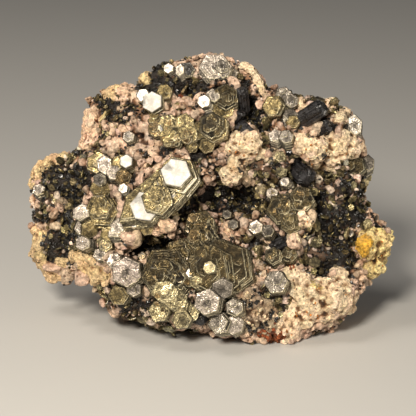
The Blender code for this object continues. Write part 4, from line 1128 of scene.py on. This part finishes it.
def unit(rng):
    return Vector(rng.normal(size=3)).normalized()


def rough_shapes(rng, count, fineness, cuts, reach, roughness, fine):
    """Irregular grains: roughened balls cut by flat faces."""
    made = []
    for _ in range(count):
        shape = bmesh.new()
        bmesh.ops.create_icosphere(shape, subdivisions=fineness, radius=1.0)
        offset = unit(rng) * 40
        for vert in shape.verts:
            vert.co += vert.co.normalized() * noise.fractal(vert.co * fine + offset, 0.8, 2.0, 4) * roughness
        for _ in range(cuts):
            facing = unit(rng)
            far = rng.uniform(*reach)
            for vert in shape.verts:
                over = facing.dot(vert.co) - far
                if over > 0:
                    vert.co -= facing * over
        bmesh.ops.scale(shape, vec=rng.uniform(0.7, 1.3, size=3), verts=shape.verts)
        made.append(as_shape(shape))
    return made


def flake(rng):
    """A small book of two or three sheets."""
    shape = bmesh.new()
    height = 0.0
    for _ in range(rng.integers(2, 4)):
        thick = rng.uniform(0.10, 0.22)
        made = bmesh.ops.create_cone(shape, cap_ends=True, segments=6, radius1=1, radius2=1, depth=thick)
        size = rng.uniform(0.75, 1.05)
        for vert in made["verts"]:
            vert.co.x *= size * rng.uniform(0.94, 1.06)
            vert.co.y *= size * rng.uniform(0.94, 1.06)
            vert.co.z -= height
        height += thick * 1.1
    return as_shape(shape)


# Placing grains

def random_turns(rng, count):
    """Rotation matrices, as an array, that turn shapes any way."""
    q = rng.normal(size=(count, 4))
    q /= np.linalg.norm(q, axis=1, keepdims=True)
    a, b, c, d = q.T
    rows = (
        (1 - 2 * (c * c + d * d), 2 * (b * c - a * d), 2 * (b * d + a * c)),
        (2 * (b * c + a * d), 1 - 2 * (b * b + d * d), 2 * (c * d - a * b)),
        (2 * (b * d - a * c), 2 * (c * d + a * b), 1 - 2 * (b * b + c * c)),
    )
    return np.moveaxis(np.array(rows), 2, 0)


def facing_turns(rng, normals, lean):
    """Rotation matrices that turn shapes to face along the normals, apart from some lean."""
    out = normals + rng.normal(0.0, lean, size=normals.shape)
    out /= np.linalg.norm(out, axis=1, keepdims=True)
    side = np.cross(out, rng.normal(size=out.shape))
    side /= np.linalg.norm(side, axis=1, keepdims=True)
    return np.stack((side, np.cross(out, side), out), axis=2)


def placed(shapes, picks, turns, sizes, places, normals, tints):
    """All the grains: each a turned and sized copy of a shape."""
    points, triangles, colours, seats = [], [], [], []
    offset = 0
    for index, shape in enumerate(shapes):
        chosen = np.flatnonzero(picks == index)
        if len(chosen) == 0:
            continue
        count = len(shape.points)
        local = np.einsum("nij,pj->npi", turns[chosen], shape.points)
        moved = local * sizes[chosen, None, None] + places[chosen, None, :]
        # Painted shade: each grain darker towards its foot, lighter towards its top.
        seat = np.einsum("npi,ni->np", local, normals[chosen]) * 0.5 + 0.5
        points.append(moved.reshape(-1, 3))
        seats.append(seat.ravel())
        colours.append(np.repeat(tints[chosen], count, axis=0))
        starts = offset + np.arange(len(chosen))[:, None, None] * count
        triangles.append((shape.triangles[None] + starts).reshape(-1, 3))
        offset += count * len(chosen)
    points, triangles, colours, seats = map(np.concatenate, (points, triangles, colours, seats))
    points[:, 2] = np.maximum(points[:, 2], FLOOR_GAP * MM)
    return Grains(points, triangles, colours, seats.clip(0, 1))


def coloured(rng, count, colour, spread):
    """A tint for each grain, near this colour."""
    light = rng.normal(1.0, spread, size=(count, 1)).clip(0.55, 1.5)
    hue = rng.normal(1.0, 0.025, size=(count, 3))
    return np.array(colour)[None] * light * hue


# Meshes from arrays

def plain_mesh(name, points, triangles):
    """A mesh of these points and triangles."""
    mesh = bpy.data.meshes.new(name)
    mesh.vertices.add(len(points))
    mesh.vertices.foreach_set("co", points.ravel())
    mesh.loops.add(triangles.size)
    mesh.loops.foreach_set("vertex_index", triangles.ravel())
    mesh.polygons.add(len(triangles))
    mesh.polygons.foreach_set("loop_start", np.arange(0, triangles.size, 3))
    mesh.update(calc_edges=True)
    return mesh


def paint(mesh, tints, seats, sharp):
    """Give each point its tint and its painted shade, and keep edges sharp from this angle on."""
    mesh.uv_layers.new(name="face")
    tint = mesh.attributes.new("tint", "FLOAT_COLOR", "POINT")
    tint.data.foreach_set("color", np.hstack((tints, np.ones((len(tints), 1)))).astype(np.float32).ravel())
    seat = mesh.attributes.new("seat", "FLOAT", "POINT")
    seat.data.foreach_set("value", seats.astype(np.float32))
    mesh.shade_smooth()
    mesh.set_sharp_from_angle(angle=math.radians(sharp))


def numbers(items, key, width, kind=np.float64):
    """One value of each of a mesh's items, as rows of this width."""
    rows = np.zeros(len(items) * width, dtype=kind)
    items.foreach_get(key, rows)
    return rows.reshape(-1, width)


def corners_of(mesh):
    """The points of a mesh and their normals, as arrays."""
    return numbers(mesh.vertices, "co", 3), numbers(mesh.vertex_normals, "vector", 3)


def tree_of(points):
    """A search tree of these points."""
    tree = kdtree.KDTree(len(points))
    for index, point in enumerate(points):
        tree.insert(point, index)
    tree.balance()
    return tree


def clouds(points, scale):
    """A smooth random value at each point, from about -1 to 1."""
    return np.array([noise.noise(Vector(point) * scale) for point in points])


def softened(points, edges, rounds):
    """The points after each moves to the middle of its neighbours, this many times."""
    count = np.bincount(edges.ravel(), minlength=len(points))[:, None].clip(1)
    for _ in range(rounds):
        total = np.zeros_like(points)
        for axis in range(3):
            total[:, axis] = np.bincount(edges[:, 0], points[edges[:, 1], axis], len(points))
            total[:, axis] += np.bincount(edges[:, 1], points[edges[:, 0], axis], len(points))
        points = total / count
    return points


def drop_hollows(mesh):
    """Take out sealed hollows inside a skin, which nobody sees."""
    form = bmesh.new()
    form.from_mesh(mesh)
    left = set(form.faces)
    hidden = []
    while left:
        shell = [left.pop()]
        for face in shell:
            for edge in face.edges:
                beside = [other for other in edge.link_faces if other in left]
                left.difference_update(beside)
                shell += beside
        start = shell[0].calc_center_median()
        volume = 0.0
        for face in shell:
            volume += (face.calc_center_median() - start).dot(face.normal) * face.calc_area()
        if volume < 0.0:
            hidden += shell
    bmesh.ops.delete(form, geom=list({corner for face in hidden for corner in face.verts}), context="VERTS")
    form.to_mesh(mesh)
    form.free()


def fused(name, parts, voxel, roughness):
    """One closed skin round overlapping grains, tinted as the nearest grain, with painted shade in its
    hollows and round the books, and lighter on its ridges.
    """
    starts = np.cumsum([0] + [len(part.points) for part in parts[:-1]])
    points = np.concatenate([part.points for part in parts])
    triangles = np.concatenate([part.triangles + start for part, start in zip(parts, starts)])
    tints = np.concatenate([part.tints for part in parts])
    core = bpy.data.objects.new(name, plain_mesh(name + "_core", points, triangles))
    bpy.context.scene.collection.objects.link(core)
    skin = core.modifiers.new("skin", "REMESH")
    skin.mode = "VOXEL"
    skin.voxel_size = voxel * MM
    mesh = bpy.data.meshes.new_from_object(core.evaluated_get(bpy.context.evaluated_depsgraph_get()))
    bpy.data.meshes.remove(core.data)
    mesh.name = name
    drop_hollows(mesh)
    at, normals = corners_of(mesh)
    tree = tree_of(points)
    nearest = np.array([tree.find(point)[1] for point in at])
    edges = numbers(mesh.edges, "vertices", 2, np.int32)
    # Painted shade from the skin's shape: darker in hollows, lighter on ridges, and darker within a margin
    # of the books as painted shadow.
    ridges = np.einsum("ni,ni->n", at - softened(at, edges, 5), normals) / (0.16 * MM)
    hollows = np.einsum("ni,ni->n", at - softened(at, edges, 50), normals) / (0.8 * MM)
    seats = 0.60 + 0.32 * ridges.clip(-1, 1) + 0.36 * hollows.clip(-1.6, 1)
    seats -= 0.25 * under_books(at, SHADE_MARGIN)
    rough = np.array([noise.fractal(Vector(point) * 1100.0, 0.9, 2.0, 3) for point in at])
    at += normals * (rough * roughness * MM)[:, None]
    at[:, 2] = np.maximum(at[:, 2], FLOOR_GAP * MM)
    mesh.vertices.foreach_set("co", at.ravel())
    mesh.update()
    paint(mesh, tints[nearest], seats.clip(0, 1), 34)
    return mesh


# Where grains grow

def scattered(rng, mesh, count):
    """Points all over a mesh, spread by area, with their normals."""
    corners, normals = corners_of(mesh)
    mesh.calc_loop_triangles()
    faces = numbers(mesh.loop_triangles, "vertices", 3, np.int32)
    a, b, c = (corners[faces[:, i]] for i in range(3))
    areas = np.linalg.norm(np.cross(b - a, c - a), axis=1)
    picked = rng.choice(len(faces), size=count, p=areas / areas.sum())
    r = np.sqrt(rng.random(count))
    s = rng.random(count)
    weights = np.stack((1 - r, r * (1 - s), r * s), axis=1)
    places = np.einsum("nk,nki->ni", weights, corners[faces[picked]])
    outward = np.einsum("nk,nki->ni", weights, normals[faces[picked]])
    outward /= np.linalg.norm(outward, axis=1, keepdims=True)
    return places, outward


def under_books(places, margin):
    """Which places lie in a book, or within a margin of its side."""
    covered = np.zeros(len(places), dtype=bool)
    for entry in [entry for entries in BOOKS.values() for entry in entries]:
        back = np.array(turned(entry, entry.spin).inverted())
        x, y, z = ((places @ back[:3, :3].T + back[:3, 3]) / MM).T
        x = x / entry.stretch
        across = np.maximum(np.abs(y), np.abs(x) * 0.866 + np.abs(y) * 0.5) / 0.866
        covered |= (across < entry.radius + margin) & (z > -entry.depth - 0.8) & (z < 3.0)
    return covered


def minerals(rng, places, normals):
    """The mineral at each place, and whether it is behind: by patches in front, in clouds behind."""
    face = on_face(places)
    dark, rubble, ochre, pink = (MINERALS.index(name) for name in ("dark", "rubble", "ochre", "pink"))
    best = np.full(len(places), 0.0)
    kind = np.full(len(places), pink)
    jitter = rng.normal(0.0, 0.12, size=len(places))
    for index, name in enumerate(PATCHES):
        reach = DARK_REACH if name in ("dark", "rubble") else CRUST_REACH
        for u, v, radius in PATCHES[name]:
            apart = np.hypot(face[:, 0] - u, face[:, 1] - v)
            score = reach - apart / radius + jitter
            better = score > best
            best[better] = score[better]
            kind[better] = index
    outward = -normals[:, 1] * LEAN_COS + normals[:, 2] * LEAN_SIN
    behind = (outward < BACK_TURN) | (face[:, 2] < BACK_DEPTH)
    broad = clouds(places, BROAD_CLOUDS)
    kind[behind] = pink
    kind[behind & (broad > DARK_ABOVE)] = dark
    kind[behind & (broad < OCHRE_BELOW)] = ochre
    kind[(kind == dark) & (clouds(places, SMALL_CLOUDS) > RUBBLE_ABOVE)] = rubble
    kind[(kind == pink) & ~behind & (clouds(places, GAP_CLOUDS) > GAP_ABOVE)] = dark
    return kind, behind


class Field:
    """Places all over a surface where grains may grow, each with its normal and mineral."""

    def __init__(self, rng, mesh, tries, margin):
        self.rng = rng
        self.places, self.normals = scattered(rng, mesh, tries)
        self.kind, self.behind = minerals(rng, self.places, self.normals)
        self.bare = ~under_books(self.places, margin)
        self.standing = self.places[:, 2] > GRAINS_FROM * MM
        self.front = self.bare & ~self.behind & self.standing

    @cached_property
    def tree(self):
        return tree_of(self.places)

    def zone(self, *wanted):
        """Which places have one of these minerals."""
        return np.isin(self.kind, [MINERALS.index(name) for name in wanted])

    def spaced(self, allowed, sizes, spacing):
        """Which places get a grain, and how big: the big ones first, then what fits between them."""
        chosen = []
        for radius, most in sizes:
            blocked = ~allowed
            for index, size in chosen:
                for _, near, _ in self.tree.find_range(self.places[index], spacing * (size + radius) * MM):
                    blocked[near] = True
            taken = 0
            for index in self.rng.permutation(len(self.places)):
                if blocked[index] or taken >= most:
                    continue
                chosen.append((index, radius * self.rng.uniform(0.85, 1.15)))
                taken += 1
                for _, near, _ in self.tree.find_range(self.places[index], spacing * 2 * radius * MM):
                    blocked[near] = True
        return chosen

    def grown(self, shapes, chosen, rise, tint, varied, lean=None):
        """Grains at the chosen places, each sunk or raised along the normal."""
        rng = self.rng
        index = np.array([i for i, _ in chosen], dtype=int)
        sizes = np.array([s for _, s in chosen]) * MM
        normals = self.normals[index]
        lift = rng.uniform(*rise, size=len(index))
        at = self.places[index] + normals * (sizes * lift)[:, None]
        picks = rng.integers(0, len(shapes), size=len(index))
        turns = random_turns(rng, len(index)) if lean is None else facing_turns(rng, normals, lean)
        return placed(shapes, picks, turns, sizes, at, normals, coloured(rng, len(index), tint, varied))

    def sow(self, shapes, allowed, sowing):
        """Grains on the allowed places, as a list of one or, if nothing fits, of none."""
        chosen = self.spaced(allowed, sowing.sizes, sowing.spacing)
        if not chosen:
            return []
        sort = shapes[sowing.shapes]
        return [self.grown(sort, chosen, sowing.rise, sowing.tint, sowing.varied, sowing.lean)]


def scatter(name, look, parts):
    """Loose grains as one piece."""
    for part in parts:
        mesh = plain_mesh(name, part.points, part.triangles)
        paint(mesh, part.tints, part.seats, 26)
        add_piece(name, mesh, look, "matrix")


# Ridges and single books

def height_at(skin, u, v):
    """How far out of the face the rock lies at this place, or at its rim nearest to it."""
    start = spot(u, v, 60.0)
    hit = skin.ray_cast(start, (spot(u, v, 0.0) - start).normalized())[0]
    hit = hit or skin.find_nearest(spot(u, v, RIM_DEPTH))[0]
    return on_face(np.array([hit]))[0][2]


def ridge(rng, skin, shapes, radius, route, colour):
    """Overlapping grains along a route on the rock, close enough to fuse into one smooth ridge."""
    route = np.array(route)
    lengths = np.linalg.norm(np.diff(route, axis=0), axis=1)
    along = np.concatenate(([0.0], np.cumsum(lengths)))
    steps = np.linspace(0.0, along[-1], int(along[-1] / (0.45 * radius)) + 2)
    places = np.stack([np.interp(steps, along, route[:, axis]) for axis in range(2)], axis=1)
    points = np.array([spot(u, v, height_at(skin, u, v) + 0.8 * radius) for u, v in places])
    count = len(points)
    outward = np.repeat([direction(0, 0)], count, axis=0)
    sizes = np.full(count, radius * MM)
    tints = coloured(rng, count, colour, 0.04)
    picks = rng.integers(0, len(shapes), size=count)
    return placed(shapes, picks, random_turns(rng, count), sizes, points, outward, tints)


# The whole specimen

def feldspar_skin(rng, rock, field, shapes, look):
    """The rock with its feldspar grains as one piece, and the ridges of crust that go on it."""
    corners, normals = corners_of(rock)
    kind, _ = minerals(rng, corners, normals)
    grounds = np.array([GROUND[name] for name in MINERALS])
    faces = numbers(rock.polygons, "vertices", 3, np.int32)
    ground = Grains(corners, faces, grounds[kind], None)
    skin = bvhtree.BVHTree.FromPolygons(corners.tolist(), faces.tolist())
    balls = rough_shapes(rng, *BALLS)
    ridges = {mineral: [] for mineral in COLOURS}
    for mineral, radius, route in RIDGES:
        sort = shapes["lumps"] if mineral == "pink" else balls
        ridges[mineral].append(ridge(rng, skin, sort, radius, route, COLOURS[mineral]))
    rear = field.standing & field.bare & field.behind & field.zone("pink", "ochre")
    parts = [ground, *ridges["pink"]]
    parts += field.sow(shapes, field.front & field.zone("pink"), FRONT_LUMPS)
    parts += field.sow(shapes, rear, REAR_LUMPS)
    parts += field.sow(shapes, rear, REAR_BLOCKS)
    return add_piece("feldspar", fused("feldspar", parts, *FELDSPAR_SKIN), look, "matrix"), ridges


def add_strays(rng, rock_piece, look):
    """Single books, which stand on the finished rock."""
    corners, _ = corners_of(rock_piece.data)
    faces = [list(face.vertices) for face in rock_piece.data.polygons]
    skin = bvhtree.BVHTree.FromPolygons(corners.tolist(), faces)
    strays = [entry._replace(w=height_at(skin, entry.u, entry.v) + entry.w) for entry in STRAYS]
    mica_group("mica_stray", strays, look, rng, "matrix")


def crust_skin(field, shapes, ridges, look):
    """The masses and knobs of crust as one piece, with loose chips of each mineral beside them."""
    parts = []
    for mineral, (large, middling, small) in CRUSTS.items():
        here = field.front & field.zone(mineral)
        tint = COLOURS[mineral]
        masses = Sowing("masses", ((MASS_RADIUS, large),), 0.42, (-0.4, 0.2), tint, 0.08)
        knobs = Sowing("knobs", tuple(zip(KNOB_RADII, (middling, small))), 0.6, (0.3, 1.5), tint, 0.12)
        chips = Sowing("chips", CHIP_SIZES, 0.8, (0.9, 2.2), tint, 0.12)
        parts += ridges[mineral]
        parts += field.sow(shapes, here, masses)
        parts += field.sow(shapes, here, knobs)
        scatter(mineral + "_chips", look, field.sow(shapes, here, chips))
    return add_piece("crust", fused("crust", parts, *CRUST_SKIN), look, "matrix")


def add_spots(rng, name, spots, skin, chips, look):
    """Small chips on a finished skin, about half sunk in it."""
    field = Field(rng, skin.data, spots.tries, SPOT_MARGIN)
    here = field.zone(*spots.minerals) & field.bare & ~field.behind
    here &= clouds(field.places, SPOT_CLOUDS) > spots.cloud
    chosen = [(index, spots.size * rng.uniform(0.6, 1.4)) for index in np.flatnonzero(here)]
    scatter(name, look, [field.grown(chips, chosen, (-0.3, 0.3), spots.tint, 0.3)])


def specimen():
    """Every piece of the specimen, from its books and prisms to its loose grains."""
    rng = np.random.default_rng(SEED)
    looks = all_looks()
    for name, entries in BOOKS.items():
        mica_group(name, entries, looks["mica"], rng)
    for name, entry in DARK_PRISMS.items():
        prism_piece(name, entry, looks["prism"], rng)
    rock = rock_mesh()
    field = Field(rng, rock, TRIES, GRAIN_MARGIN)
    shapes = {sort: rough_shapes(rng, *form) for sort, form in ROUGH_SHAPES.items()}
    shapes["flakes"] = [flake(rng) for _ in range(FLAKE_SHAPES)]
    feldspar, ridges = feldspar_skin(rng, rock, field, shapes, looks["feldspar"])
    add_strays(rng, feldspar, looks["mica"])
    skins = {"feldspar": feldspar, "crust": crust_skin(field, shapes, ridges, looks["crust"])}
    for name, spots in SPOTS.items():
        add_spots(rng, name, spots, skins[spots.skin], shapes["chips"], looks[spots.look])
    for name, (look, where, sowing) in LOOSE.items():
        allowed = field.front & field.zone(*where)
        if name == "dark_grains":
            allowed |= field.standing & field.behind & field.zone("dark")
        scatter(name, looks[look], field.sow(shapes, allowed, sowing))


# The stage: a pale floor, soft light and the camera

def stage():
    bpy.ops.mesh.primitive_plane_add(size=3.0, location=(0, 0.6, 0))
    floor = bpy.context.object
    floor.name = "floor"
    look, _, _ = new_material("floor", Base_Color=(0.52, 0.515, 0.50), Roughness=0.6)
    floor.data.materials.append(look)
    world = bpy.data.worlds.new("studio")
    bpy.context.scene.world = world
    world.use_nodes = True
    background = world.node_tree.nodes["Background"].inputs
    background["Color"].default_value = (0.80, 0.79, 0.77, 1.0)
    background["Strength"].default_value = 0.10


def set_up(name, data, turn, distance):
    """Put a light or a camera this way and this far from the middle of the view, facing it."""
    made = bpy.data.objects.new(name, data)
    way = direction(*turn)
    made.location = spot(*VIEW_MIDDLE, 0) + way * distance
    made.rotation_euler = way.to_track_quat("Z", "Y").to_euler()
    bpy.context.scene.collection.objects.link(made)
    return made


def add_light(name, turn, distance, size, watts, colour):
    data = bpy.data.lights.new(name, "AREA")
    data.shape = "DISK"
    data.size = size
    data.energy = watts
    data.color = colour
    set_up(name, data, turn, distance)


def camera():
    data = bpy.data.cameras.new("camera")
    data.sensor_width = 36
    data.lens = data.sensor_width * EYE_DISTANCE / VIEW_WIDTH
    bpy.context.scene.camera = set_up("camera", data, (0, 0), EYE_DISTANCE * MM)


specimen()
stage()
add_light("key", KEY_TURN, distance=0.46, size=0.12, watts=2.9, colour=(1.0, 0.91, 0.78))
add_light("right", (0.88, -0.05), distance=0.5, size=0.10, watts=0.6, colour=(1.0, 0.91, 0.78))
add_light("top", (-0.45, 0.85), distance=0.6, size=0.2, watts=1.2, colour=(1.0, 0.92, 0.82))
camera()
bpy.context.scene.view_settings.view_transform = "Standard"
